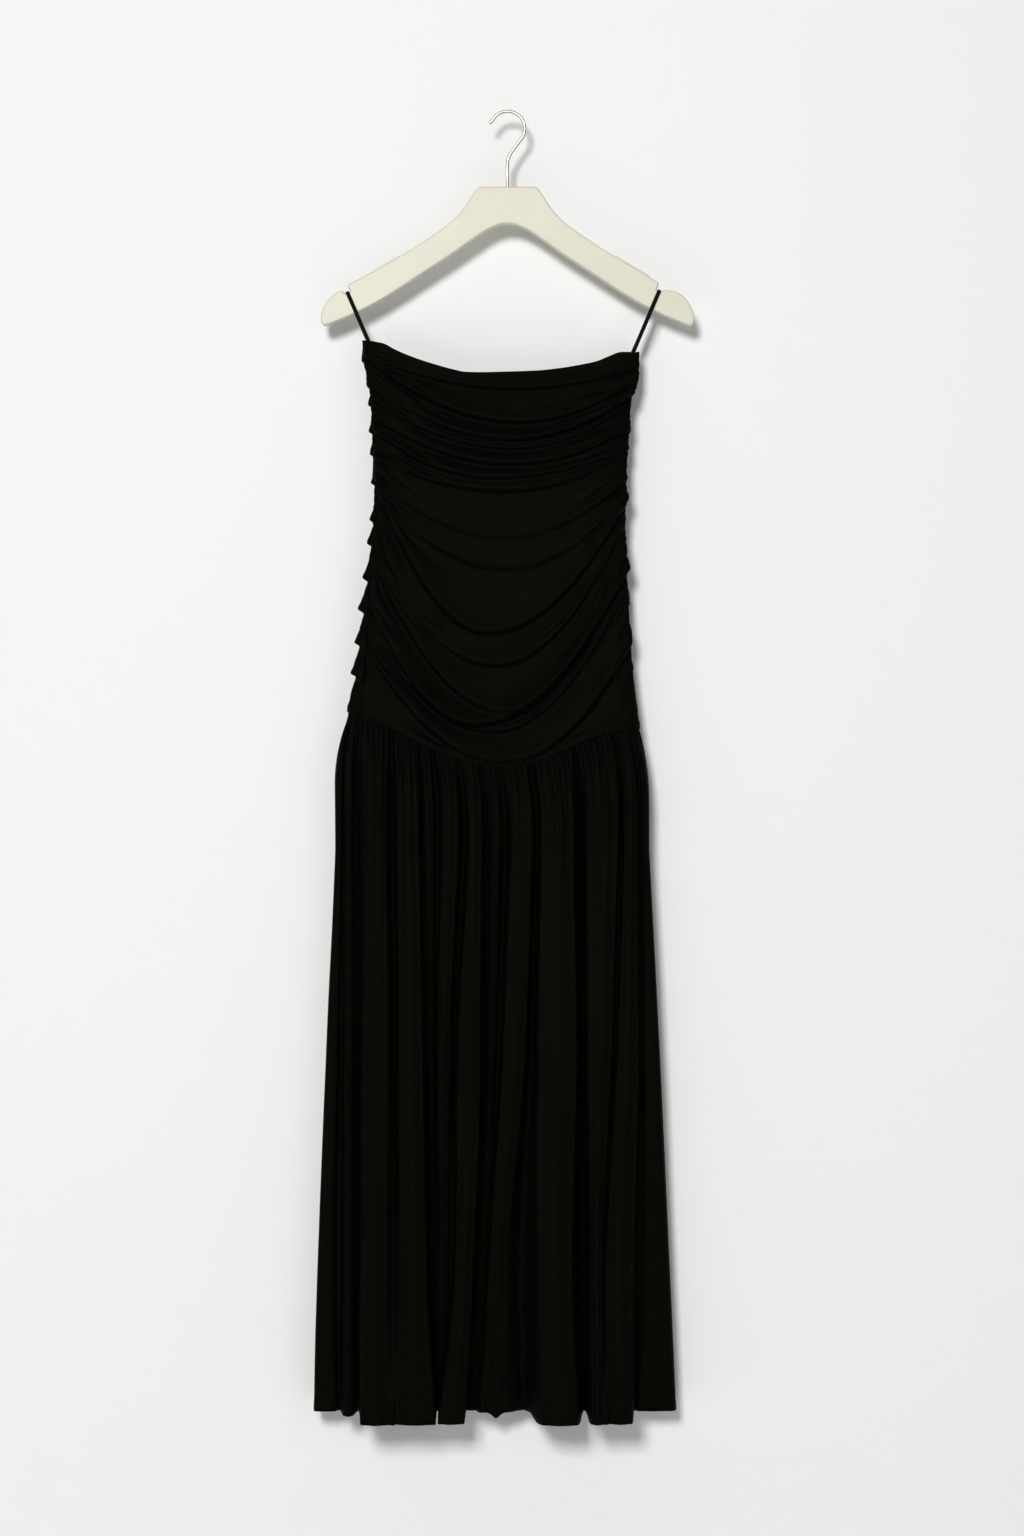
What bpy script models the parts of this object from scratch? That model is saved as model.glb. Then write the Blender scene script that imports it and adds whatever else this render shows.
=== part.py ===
# A strapless dropped waist dress in fine black jersey, hung by two tape loops from a flat
# painted hanger with a wire hook. The bodice is ruched into the side seams and swags between
# them; the skirt is gathered into a seam at the hips and falls in deep folds to the hem.
#
# The front faces -Y and the origin is the inside of the hook's crown, where a rail touches it.
# Every size is in millimetres until a mesh is made.
import math
from collections import namedtuple

import bmesh
import bpy
from mathutils import Matrix, Vector

MM = 0.001
GAP = 0.3  # between pieces that touch or are sewn together
WAIST_GAP = 0.5  # a little more, because this seam curves

# The cloth
BODICE_WALL = 1.6  # two layers of jersey
SKIRT_WALL = 1.2
HEM_HEIGHT = -1498
RING_POWER = 0.72  # how full the flat tube is towards its side seams

BODICE_COLUMNS = {"front": 30, "back": 20}
ROW_GAP = 2.5  # least distance between two rows of the bodice
NECK_LEVEL = -270  # typical heights of the two edges of the bodice
WAIST_LEVEL = -720
SEAM_FADE = 16  # folds of the bodice die out over this distance from a side seam
EDGE_CROWDING = 40  # draws columns towards the rounded edges of the tube
SKIRT_DROPS = (0, 7, 18, 34, 58, 92, 142, 212, 300, 400, 500, 600, 690, 742)  # rows, waist seam to hem

# The hanger
HANGER_THICK = 13
HANGER_ROUNDING = 1.2
WIRE_RADIUS = 1.9
HOOK_RADIUS = 20  # to the middle of the wire
STEM_BOTTOM = -110
NOTCH_WIDTH = 7
GRIP_TEETH = 9
TAPE_WIDTH = 4.6
TAPE_THICK = 1.0

# Outline of the hanging bodice: left and right edge, how far it stands out in front and behind,
# and the degrees by which the left side seam has turned towards the front
Outline = namedtuple("Outline", "height left right front back seam_turn")
BODICE_OUTLINE = (
    Outline(-255, -168, 150, 13, 12, 6),
    Outline(-285, -167, 152, 14, 13, 6),
    Outline(-312, -161, 150, 15, 14, 6),
    Outline(-326, -159, 144, 16, 14, 6),
    Outline(-378, -157, 140, 17, 15, 6),
    Outline(-447, -154, 136, 18, 16, 8),
    Outline(-517, -161, 137, 19, 17, 13),
    Outline(-563, -167, 140, 20, 18, 17),
    Outline(-632, -175, 144, 22, 19, 22),
    Outline(-690, -184, 150, 24, 20, 24),
    Outline(-780, -193, 158, 25, 21, 24),
)

# Height of the neck edge and of the waist seam, by the share of the width from left to right
Edge = namedtuple("Edge", "share neck waist")
FRONT_EDGES = (
    Edge(0.00, -263, -692),
    Edge(0.05, -265.5, -700),
    Edge(0.09, -270.5, -704),
    Edge(0.16, -281, -714),
    Edge(0.25, -291.5, -727),
    Edge(0.33, -299, -740),
    Edge(0.42, -305, -750),
    Edge(0.53, -308.5, -756),
    Edge(0.62, -308, -752),
    Edge(0.72, -305, -740),
    Edge(0.83, -298, -724),
    Edge(0.91, -290, -717),
    Edge(1.00, -276, -712),
)
BACK_EDGES = (
    Edge(0.00, -263, -692),
    Edge(0.06, -264, -696),
    Edge(0.15, -278, -706),
    Edge(0.24, -288.5, -713),
    Edge(0.32, -296, -721),
    Edge(0.42, -297.5, -728),
    Edge(0.50, -297, -731),
    Edge(0.63, -295.5, -732),
    Edge(0.71, -293, -730),
    Edge(0.80, -288.5, -726),
    Edge(0.85, -285, -722),
    Edge(0.89, -280, -719),
    Edge(0.94, -275, -715),
    Edge(1.00, -276, -712),
)

# Draped folds of the bodice. Each crease runs from one side seam through a lowest point to the
# other, as two halves of a parabola, with a rolled ridge lying on it. keep_left and keep_right
# say how much of the fold is left at each seam.
Swag = namedtuple("Swag", "left_x left_z low_x low_z right_x right_z depth width keep_left keep_right")
FRONT_SWAGS = (
    Swag(-166, -281, 10, -322, 142, -298, 3.0, 8, 0.5, 0.8),
    Swag(-161, -286, 14, -361, 142, -315, 4.0, 9, 0.9, 0.6),
    Swag(-156, -318, 5, -381, 141, -329, 5.5, 9, 0.3, 0.8),
    Swag(-153, -334, 8, -391, 139, -339, 3.0, 7, 0.6, 0.6),
    Swag(-150, -356, 4, -409, 138, -368, 4.5, 9, 0.4, 0.8),
    Swag(-149, -374, -16, -425, 136, -391, 3.5, 8, 0.8, 0.5),
    Swag(-150, -402, -4, -440, 136, -398, 3.5, 10, 0.4, 0.4),
    Swag(-153, -424, -4, -494, 135, -426, 1.6, 10, 0.9, 0.9),
    Swag(-152, -440, -2, -530, 136, -446, 2.0, 10, 0.7, 0.7),
    Swag(-151, -436, -22, -604, 136, -452, 4.5, 12, 0.9, 0.9),
    Swag(-151, -478, -18, -622, 134, -470, 1.0, 8, 0.9, 0.9),
    Swag(-148, -520, -14, -641, 130, -488, 3.0, 10, 0.2, 0.9),
    Swag(-153, -524, -3, -694, 133, -516, 3.5, 11, 0.9, 0.2),
    Swag(-154, -579, -36, -709, 136, -532, 6.5, 12, 0.8, 0.9),
    Swag(-157, -602, -18, -717, 138, -550, 3.0, 9, 0.8, 0.8),
    Swag(-160, -624, -4, -753, 144, -612, 4.5, 11, 0.8, 0.9),
)
BACK_SWAGS = (
    Swag(-163, -290, -10, -324, 145, -304, 2.5, 9, 0.7, 0.6),
    Swag(-159, -318, 2, -352, 142, -322, 4.0, 10, 0.6, 0.8),
    Swag(-156, -340, -12, -381, 141, -352, 3.5, 9, 0.8, 0.6),
    Swag(-154, -372, 6, -414, 139, -371, 4.5, 11, 0.5, 0.9),
    Swag(-153, -398, -8, -448, 137, -406, 3.0, 10, 0.9, 0.5),
    Swag(-154, -430, 12, -484, 136, -428, 4.0, 12, 0.6, 0.8),
    Swag(-156, -448, 0, -508, 136, -448, 1.0, 8, 0.6, 0.6),
    Swag(-158, -470, -14, -532, 136, -470, 3.0, 11, 0.8, 0.7),
    Swag(-161, -498, 4, -566, 137, -494, 4.5, 12, 0.7, 0.8),
    Swag(-166, -538, -10, -604, 139, -534, 3.5, 11, 0.8, 0.6),
    Swag(-171, -574, 8, -640, 142, -566, 5.0, 12, 0.6, 0.9),
    Swag(-176, -612, -12, -676, 144, -604, 3.5, 11, 0.8, 0.7),
    Swag(-181, -648, 4, -706, 147, -642, 4.0, 11, 0.7, 0.8),
)
SWAGS = {"front": FRONT_SWAGS, "back": BACK_SWAGS}
FOLD_DEPTH = 1.5  # makes all the folds of the bodice deeper or shallower
RIDGE_BELOW = 0.4  # the hollow under a crease, as a share of the ridge over it
SEAM_CALM = 12  # folds die out over this height above the waist seam

# Folds of the skirt, from the left side seam to the right. A band is the flat crest of a fold:
# its edges at four heights, how far it stands out there, and the floor of the groove after it.
FOLD_HEIGHTS = (-852, -1083, -1340, HEM_HEIGHT)
Band = namedtuple("Band", "left right crest floor")
FRONT_BANDS = (
    Band((-159, -163, -165, -166), (-140, -137, -139, -134), (28, 42, 52, 58), (13, 22, 40, 57)),
    Band((-125, -123, -122, -127), (-102, -97, -92, -88), (29, 43, 52, 56), (8, 7, 7, 8)),
    Band((-94, -90, -86, -84), (-86, -86, -83, -82), (25, 16, 9, 9), (9, 8, 6, 8)),
    Band((-74, -80, -79, -80), (-58, -67, -70, -76), (26, 20, 10, 9), (8, 8, 6, 7)),
    Band((-43, -56, -60, -72), (-31, -31, -40, -50), (27, 40, 48, 52), (9, 7, 6, 6)),
    Band((-19, -21, -34, -46), (-11, -16, -29, -42), (22, 14, 8, 7), (9, 8, 6, 6)),
    Band((5, -5, -21, -31), (28, 20, -2, -4), (30, 34, 25, 19), (8, 7, 6, 6)),
    Band((39, 35, 35, 38), (75, 78, 73, 80), (32, 45, 54, 59), (8, 7, 6, 7)),
    Band((92, 93, 96, 97), (126, 118, 107, 109), (30, 42, 50, 55), (12, 24, 38, 52)),
    Band((134, 127, 113, 116), (149, 147, 140, 141), (24, 38, 48, 52), (8, 7, 6, 6)),
    Band((156, 160, 161, 152), (161, 172, 181, 188), (14, 14, 12, 12), (0, 0, 0, 0)),
)
# The stretch of the back that comes round the left edge, from the edge to the side seam
WRAP_BANDS = (
    Band((-197, -206, -216, -220), (-192, -197, -204, -199), (9, 11, 12, 13), (3, 3, 3, 4)),
    Band((-186, -187, -185, -188), (-179, -178, -178, -177), (16, 20, 25, 30), (9, 9, 9, 10)),
)
# Folds of the back, from the right edge to the left: centre line and half width of each crest
BackFold = namedtuple("BackFold", "top_x hem_x top_half hem_half top_crest hem_crest")
BACK_FOLDS = (
    BackFold(143, 164, 8, 14, 20, 26),
    BackFold(114, 126, 6, 9, 22, 31),
    BackFold(84, 88, 9, 13, 23, 32),
    BackFold(47, 51, 7, 10, 24, 33),
    BackFold(12, 10, 10, 15, 24, 33),
    BackFold(-28, -34, 6, 9, 24, 32),
    BackFold(-62, -73, 9, 14, 24, 33),
    BackFold(-98, -113, 6, 9, 23, 31),
    BackFold(-130, -150, 8, 12, 22, 31),
    BackFold(-164, -190, 8, 12, 19, 25),
)
BACK_FLOOR = 12
LEFT_SKIRT_EDGE = (-199, -210, -220, -223)
RIGHT_SKIRT_EDGE = (164, 176, 188, 195)
LEFT_SEAM = (-176, -174, -174, -172)
LEFT_SEAM_DEPTH = (9, 9, 9, 10)
GATHERS = (0.4, 2.0, 1.9, 1.4, 0.8, 0.3, 0, 0, 0, 0, 0, 0, 0, 0)  # how far they stand out, row by row
HEM_DIP = 6  # the folds that stand furthest out hang this much lower
GATHER_REACH = 120  # the waist's own round shape has gone this far below the seam


def smooth(share):
    share = min(1.0, max(0.0, share))
    return share * share * (3 - 2 * share)


def curve_through(knots):
    """A smooth function through (x, y) knots in order of x, with no overshoot."""
    xs = [x for x, _ in knots]
    ys = [y for _, y in knots]
    rises = [(ys[i + 1] - ys[i]) / (xs[i + 1] - xs[i]) for i in range(len(xs) - 1)]
    slopes = [rises[0]]
    for before, after in zip(rises, rises[1:]):
        slopes.append(0.0 if before * after <= 0 else 2 * before * after / (before + after))
    slopes.append(rises[-1])

    def value(x):
        if x <= xs[0]:
            return ys[0]
        if x >= xs[-1]:
            return ys[-1]
        i = max(k for k in range(len(xs) - 1) if xs[k] <= x)
        span = xs[i + 1] - xs[i]
        t = (x - xs[i]) / span
        start = (1 + 2 * t) * (1 - t) ** 2 * ys[i] + t * (1 - t) ** 2 * span * slopes[i]
        return start + t * t * (3 - 2 * t) * ys[i + 1] + t * t * (t - 1) * span * slopes[i + 1]

    return value


def columns_of(table, key, *names):
    """One smooth function for each named column of a table, in order of its key column."""
    rows = sorted(table, key=lambda row: getattr(row, key))
    return [curve_through([(getattr(row, key), getattr(row, name)) for row in rows]) for name in names]


edge_left, edge_right, depth_front, depth_back, seam_turn = columns_of(
    BODICE_OUTLINE, "height", "left", "right", "front", "back", "seam_turn"
)
front_neck, front_waist = columns_of(FRONT_EDGES, "share", "neck", "waist")
back_neck, back_waist = columns_of(BACK_EDGES, "share", "neck", "waist")


# The bodice is a flat tube. An angle runs round it: 0 at the left edge, 90 degrees at the middle
# of the front, 180 at the right edge and 270 at the middle of the back.
def tube_point(angle, height):
    """Where the plain tube's surface lies at an angle and a height."""
    left, right = edge_left(height), edge_right(height)
    out = math.sin(angle)
    depth = depth_front(height) if out > 0 else depth_back(height)
    x = (left + right) / 2 - (right - left) / 2 * math.cos(angle)
    return Vector((x, -math.copysign(depth * abs(out) ** RING_POWER, out), height))


def tube_normal(angle, height):
    """The level direction that points straight out of the plain tube."""
    along = tube_point(angle + 0.03, height) - tube_point(angle - 0.03, height)
    return Vector((along.y, -along.x, 0)).normalized()


def edge_height(angle, edge):
    """Height of the neck edge or of the waist seam at an angle."""
    front = {"neck": front_neck, "waist": front_waist}
    back = {"neck": back_neck, "waist": back_waist}
    return (front if math.sin(angle) > 0 else back)[edge]((1 - math.cos(angle)) / 2)


def panel_angle(panel, share, height):
    """The angle at a share of the way across a panel, which starts and ends on its seams."""
    turned = math.radians(seam_turn(height))
    if panel == "front":
        return turned + (math.pi - turned) * share
    return math.pi + (math.pi + turned) * share


def spread(panel, height, count):
    """Shares of the way across a panel for its columns, a little closer at the rounded edges."""
    steps = 240
    lengths = [0.0]
    for k in range(steps):
        a = panel_angle(panel, k / steps, height)
        b = panel_angle(panel, (k + 1) / steps, height)
        step = (tube_point(b, height) - tube_point(a, height)).length
        lengths.append(lengths[-1] + step + EDGE_CROWDING * (b - a))
    share_at = curve_through([(length, k / steps) for k, length in enumerate(lengths)])
    return [share_at(lengths[-1] * k / count) for k in range(count + 1)]


def swag_line(swag, x):
    """Height and slope of a crease at a place across the bodice, and how far along its half."""
    if x < swag.low_x:
        run, top = swag.left_x - swag.low_x, swag.left_z - swag.low_z
    else:
        run, top = swag.right_x - swag.low_x, swag.right_z - swag.low_z
    along = (x - swag.low_x) / run
    return swag.low_z + top * along**2, 2 * top * along / run, along


def swag_width(swag, along):
    return swag.width * (1 - 0.45 * min(1.0, along) ** 2)


def swag_rise(swag, x, z):
    """How far one draped fold lifts the cloth at a place on the bodice."""
    height, slope, along = swag_line(swag, x)
    keep = swag.keep_left if x < swag.low_x else swag.keep_right
    across = (z - height) / math.hypot(1, slope)
    strength = FOLD_DEPTH * swag.depth * (1 + (keep - 1) * smooth(along))
    near = abs(across) / swag_width(swag, along)
    bump = near * math.exp(1 - near)
    return strength * (bump if across > 0 else -RIDGE_BELOW * bump)


def bodice_lift(panel, angle, height):
    """How far the folds lift the cloth off the plain tube; nothing at the seams."""
    place = tube_point(angle, height)
    lift = sum(swag_rise(swag, place.x, height) for swag in SWAGS[panel])
    left = abs(panel_angle("front", 0, height) - angle)
    if panel == "back":
        left = panel_angle("back", 1, height) - angle
    half = (edge_right(height) - edge_left(height)) / 2
    from_seam = min(left, abs(angle - math.pi)) * half * 0.5
    above_waist = height - edge_height(angle, "waist")
    below_neck = edge_height(angle, "neck") - height
    lift *= smooth(above_waist / SEAM_CALM) * smooth(below_neck / SEAM_CALM + 0.4)
    return lift * smooth(from_seam / SEAM_FADE)


def row_heights(panel, share):
    """Heights down one column: the neck edge, the ridge and the hollow of each fold, the waist."""
    top = edge_height(panel_angle(panel, share, NECK_LEVEL), "neck")
    bottom = edge_height(panel_angle(panel, share, WAIST_LEVEL), "waist")
    heights = [top, top - 4]
    x = tube_point(panel_angle(panel, share, -560), -500).x
    for swag in SWAGS[panel]:
        line, slope, along = swag_line(swag, x)
        reach = swag_width(swag, along) * math.hypot(1, slope)
        heights += [line + reach, line - 0.7 * reach]
    heights.append(bottom)
    last = len(heights) - 1
    for j in range(1, last):
        heights[j] = min(heights[j], heights[j - 1] - ROW_GAP)
    for j in range(last - 1, 0, -1):
        heights[j] = max(heights[j], heights[j + 1] + ROW_GAP)
    return heights


def bodice_faces(panel):
    """The outer and inner faces of a panel as rows of points, from the neck edge to the waist."""
    shares = spread(panel, -500, BODICE_COLUMNS[panel])
    columns, level_normals = [], []
    for share in shares:
        heights = row_heights(panel, share)
        angles = [panel_angle(panel, share, height) for height in heights]
        normals = [tube_normal(angle, height) for angle, height in zip(angles, heights)]
        columns.append(
            [
                tube_point(angle, height) + normal * bodice_lift(panel, angle, height)
                for angle, height, normal in zip(angles, heights, normals)
            ]
        )
        level_normals.append(normals)
    outer = [list(row) for row in zip(*columns)]
    return wall_faces(outer, [list(row) for row in zip(*level_normals)], BODICE_WALL)


def wall_faces(outer, level_normals, wall):
    """Adds the inner face, and draws both back by half a gap at the side seams.

    The edges go straight in along level_normals, so that two panels' edges lie face to face.
    """
    rows, width = len(outer), len(outer[0])
    inner = []
    for j in range(rows):
        row = []
        for i in range(width):
            if j in (0, rows - 1) or i in (0, width - 1):
                normal = level_normals[j][i]
            else:
                across = outer[j][i + 1] - outer[j][i - 1]
                down = outer[j + 1][i] - outer[j - 1][i]
                normal = down.cross(across).normalized()
            row.append(outer[j][i] - normal * wall)
        inner.append(row)
    for grid in (outer, inner):
        for row in grid:
            for end, beside in ((0, 1), (-1, -2)):
                step = row[beside] - row[end]
                row[end] = row[end] + step.normalized() * min(GAP / 2, step.length / 3)
    return outer, inner


# The skirt is a ring of stations joined by soft steps. A station is one crest edge, crest middle
# or groove floor, followed from the waist seam to the hem.
Station = namedtuple("Station", "x y turn")


def at_height(values):
    return curve_through(sorted(zip(FOLD_HEIGHTS, values)))


def band_stations(bands):
    """Stations for a run of front bands: each crest's edges and middle, then the groove after it."""
    stations = []
    for band, after in zip(bands, list(bands[1:]) + [None]):
        middle = [(a + b) / 2 for a, b in zip(band.left, band.right)]
        edge_depth = [-0.93 * crest for crest in band.crest]
        crest_depth = [-crest for crest in band.crest]
        stations.append(Station(at_height(band.left), at_height(edge_depth), False))
        stations.append(Station(at_height(middle), at_height(crest_depth), False))
        stations.append(Station(at_height(band.right), at_height(edge_depth), False))
        if after:
            groove = [(a + b) / 2 for a, b in zip(band.right, after.left)]
            floor = [-depth for depth in band.floor]
            stations.append(Station(at_height(groove), at_height(floor), False))
    return stations


def back_stations():
    """Stations across the back, from the right edge to the left edge."""
    steps = [(h - FOLD_HEIGHTS[0]) / (HEM_HEIGHT - FOLD_HEIGHTS[0]) for h in FOLD_HEIGHTS]
    stations = []
    for fold, after in zip(BACK_FOLDS, BACK_FOLDS[1:] + (None,)):
        middle = [fold.top_x + (fold.hem_x - fold.top_x) * s for s in steps]
        half = [fold.top_half + (fold.hem_half - fold.top_half) * s for s in steps]
        crest = [fold.top_crest + (fold.hem_crest - fold.top_crest) * s for s in steps]
        for sign in (1, -1):
            edge = [m + sign * h for m, h in zip(middle, half)]
            stations.append(Station(at_height(edge), at_height(crest), False))
        if after:
            follow = [after.top_x + (after.hem_x - after.top_x) * s for s in steps]
            groove = [(a + b) / 2 for a, b in zip(middle, follow)]
            stations.append(Station(at_height(groove), at_height([BACK_FLOOR] * 4), False))
    return stations


def skirt_stations(panel):
    """Stations from seam to seam: the left side seam is in a groove, the right one on the edge."""
    left_seam = Station(at_height(LEFT_SEAM), at_height([-d for d in LEFT_SEAM_DEPTH]), False)
    right_edge = Station(at_height(RIGHT_SKIRT_EDGE), at_height([0] * 4), True)
    if panel == "front":
        return [left_seam] + band_stations(FRONT_BANDS) + [right_edge]
    left_edge = Station(at_height(LEFT_SKIRT_EDGE), at_height([0] * 4), True)
    return [right_edge] + back_stations() + [left_edge] + band_stations(WRAP_BANDS) + [left_seam]


def between(first, second, height, t):
    """A point on the way from one station to the next, as an S-shaped step or a rounded edge."""
    x0, y0, x1, y1 = first.x(height), first.y(height), second.x(height), second.y(height)
    swing, rest = math.sin(t * math.pi / 2), 1 - math.cos(t * math.pi / 2)
    if second.turn:
        return x0 + (x1 - x0) * swing, y0 + (y1 - y0) * rest
    if first.turn:
        return x0 + (x1 - x0) * rest, y0 + (y1 - y0) * swing
    return x0 + (x1 - x0) * t, y0 + (y1 - y0) * smooth(t)


def skirt_faces(panel):
    """The outer and inner faces of a panel as rows of points, from the waist seam to the hem."""
    stations = skirt_stations(panel)
    places = []
    for first, second in zip(stations, stations[1:]):
        places += [(first, second, 0.0), (first, second, 0.5)]
    places.append((stations[-2], stations[-1], 1.0))
    count = len(places) - 1
    shares = spread(panel, WAIST_LEVEL, count)
    left_column = 0 if panel == "front" else count
    outer, level_normals = [], []
    for j, drop in enumerate(SKIRT_DROPS):
        row, normals = [], []
        for i, (first, second, t) in enumerate(places):
            angle = panel_angle(panel, shares[i], WAIST_LEVEL)
            waist = edge_height(angle, "waist")
            top = tube_point(angle, waist) - Vector((0, 0, WAIST_GAP))
            height = top.z - (top.z - HEM_HEIGHT) * drop / SKIRT_DROPS[-1]
            x, y = between(first, second, height, t)
            fallen = min(1.0, (top.z - height) / GATHER_REACH)
            settle = fallen * (2 - fallen)
            height -= HEM_DIP * smooth((-y - 20) / 25) * (drop / SKIRT_DROPS[-1]) ** 2
            normal = tube_normal(angle, waist)
            gather = GATHERS[j] * (1 if i % 2 else -1) if 0 < i < count else 0
            row.append(Vector((top.x + (x - top.x) * settle, top.y + (y - top.y) * settle, height)))
            row[-1] += normal * gather
            target = Vector((0, -1, 0)) if i == left_column else Vector((1, 0, 0))
            if 0 < i < count:
                target = Vector((0, math.copysign(1, y), 0))
            normals.append(normal.lerp(target, settle).normalized())
        outer.append(row)
        level_normals.append(normals)
    return wall_faces(outer, hem_normals(outer, level_normals), SKIRT_WALL)


def hem_normals(outer, level_normals):
    """Turns the last row's normals square to the hem's own line, so the wall keeps its thickness."""
    row = outer[-1]
    for i in range(1, len(row) - 1):
        across = row[i + 1] - row[i - 1]
        level_normals[-1][i] = Vector((across.y, -across.x, 0)).normalized()
    return level_normals


def material(name, colour, roughness, metallic=0.0):
    made = bpy.data.materials.new(name)
    made.use_nodes = True
    surface = made.node_tree.nodes["Principled BSDF"]
    surface.inputs["Base Color"].default_value = (*colour, 1)
    surface.inputs["Roughness"].default_value = roughness
    surface.inputs["Metallic"].default_value = metallic
    return made


def add_object(name, data, collection, finish):
    thing = bpy.data.objects.new(name, data)
    collection.objects.link(thing)
    thing.data.materials.append(finish)
    return thing


def cloth_panel(name, faces, collection, finish):
    """A closed sheet lofted through the rows of points of its outer and inner faces."""
    outer, inner = faces
    rows, width = len(outer), len(outer[0])
    size = rows * width
    quads = []
    for j in range(rows - 1):
        for i in range(width - 1):
            a = j * width + i
            quads.append((a, a + width, a + width + 1, a + 1))
            quads.append((size + a, size + a + 1, size + a + width + 1, size + a + width))
    for j in range(rows - 1):
        a, b = j * width, j * width + width - 1
        quads.append((a, size + a, size + a + width, a + width))
        quads.append((b, b + width, size + b + width, size + b))
    for i in range(width - 1):
        a, b = i, (rows - 1) * width + i
        quads.append((a, a + 1, size + a + 1, size + a))
        quads.append((b, size + b, size + b + 1, b + 1))
    mesh = bpy.data.meshes.new(name)
    mesh.from_pydata([point * MM for grid in (outer, inner) for row in grid for point in row], [], quads)
    mesh.shade_smooth()
    return add_object(name, mesh, collection, finish)


def flat_curve(name, outline, half_thick, bevel, collection, finish):
    """A filled outline in its own XY plane, as thick as twice half_thick."""
    curve = bpy.data.curves.new(name, "CURVE")
    curve.dimensions = "2D"
    curve.fill_mode = "BOTH"
    curve.extrude = (half_thick - bevel) * MM
    curve.bevel_depth = bevel * MM
    curve.offset = -bevel * MM
    curve.bevel_resolution = 0
    spline = curve.splines.new("POLY")
    spline.points.add(len(outline) - 1)
    for point, (x, y) in zip(spline.points, outline):
        point.co = (x * MM, y * MM, 0, 1)
    spline.use_cyclic_u = True
    return add_object(name, curve, collection, finish)


# The hanger, as half an outline from the middle of the top to the middle of the underside
HangerPoint = namedtuple("HangerPoint", "x z")
HANGER_TOP = (
    HangerPoint(34, -86),
    HangerPoint(43, -99),
    HangerPoint(51, -112),
    HangerPoint(64, -126),
    HangerPoint(83, -140),
    HangerPoint(104, -154),
    HangerPoint(127, -168),
    HangerPoint(151, -182),
    HangerPoint(177, -198),
)
HANGER_END = (
    HangerPoint(193, -206),
    HangerPoint(202, -211),
    HangerPoint(210, -220),
    HangerPoint(215, -231),
    HangerPoint(216, -241),
    HangerPoint(213, -246),
    HangerPoint(208, -246),
)
HANGER_UNDER = (
    HangerPoint(167, -229),
    HangerPoint(129, -207),
    HangerPoint(98, -186),
    HangerPoint(68, -167),
    HangerPoint(40, -147),
    HangerPoint(24, -136),
    HangerPoint(10, -130),
    HangerPoint(0, -128.5),
)
NOTCH_MIDDLE = {"left": Vector((-184.5, -209)), "right": Vector((175, -207))}
LOOP_FOOT = {"left": Vector((-161.5, -262)), "right": Vector((146.5, -274))}
LOOP_BACK_FOOT = {"left": Vector((-162.5, -260)), "right": Vector((147, -272))}
TAPE_SEWN = 13  # how much of the tape lies inside, below the neck edge


def strand(side):
    """The way a loop runs from its notch down to the neck edge, seen from the front."""
    return (LOOP_FOOT[side] - NOTCH_MIDDLE[side]).normalized()


def notch_points(side):
    """The notch's two walls and floor, from the middle of the hanger outwards."""
    down = strand(side)
    outward = Vector((-down.y, down.x))
    if outward.x * NOTCH_MIDDLE[side].x < 0:
        outward.negate()
    floor = NOTCH_MIDDLE[side]
    half = NOTCH_WIDTH / 2
    inner_top = floor - outward * half - down * 9
    outer_top = floor + outward * half - down * 4
    return [inner_top, floor - outward * half, floor + outward * half, outer_top]


def hanger_outline():
    halves = {}
    for side, sign in (("right", 1), ("left", -1)):
        notch = [(p.x, p.y) for p in notch_points(side)]
        top = [(sign * p.x, p.z) for p in HANGER_TOP if abs(p.x) < abs(notch[0][0]) - 2]
        end = [(sign * p.x, p.z) for p in HANGER_END if abs(p.x) > abs(notch[-1][0]) + 2]
        under = [(sign * p.x, p.z) for p in HANGER_UNDER]
        halves[side] = top + notch + end + under
    return halves["right"] + halves["left"][-2::-1]


def meshed(thing):
    """The same object as a welded mesh in place of its curve."""
    graph = bpy.context.evaluated_depsgraph_get()
    mesh = bpy.data.meshes.new_from_object(thing.evaluated_get(graph))
    weld = bmesh.new()
    weld.from_mesh(mesh)
    bmesh.ops.remove_doubles(weld, verts=weld.verts, dist=0.00001)
    weld.to_mesh(mesh)
    weld.free()
    made = bpy.data.objects.new(thing.name, mesh)
    made.matrix_world = thing.matrix_world
    thing.users_collection[0].objects.link(made)
    name = thing.name
    bpy.data.objects.remove(thing)
    made.name = name
    return made


def build_hanger(collection, cutters, finish):
    body = flat_curve("hanger_body", hanger_outline(), HANGER_THICK / 2, HANGER_ROUNDING, collection, finish)
    body.rotation_euler = (math.pi / 2, 0, 0)
    bpy.context.view_layer.update()
    body = meshed(body)
    depth = HANGER_TOP[0].z - STEM_BOTTOM + GAP
    bpy.ops.mesh.primitive_cylinder_add(vertices=16, radius=(WIRE_RADIUS + GAP) * MM, depth=(depth + 10) * MM)
    bore = bpy.context.object
    bore.name = "stem_bore"
    bore.location = (0, 0, (STEM_BOTTOM - GAP + (depth + 10) / 2) * MM)
    bore.hide_render = True
    bore.display_type = "WIRE"
    for holder in bore.users_collection:
        holder.objects.unlink(bore)
    cutters.objects.link(bore)
    cut = body.modifiers.new("Stem bore", "BOOLEAN")
    cut.operation = "DIFFERENCE"
    cut.object = bore
    return body


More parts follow.
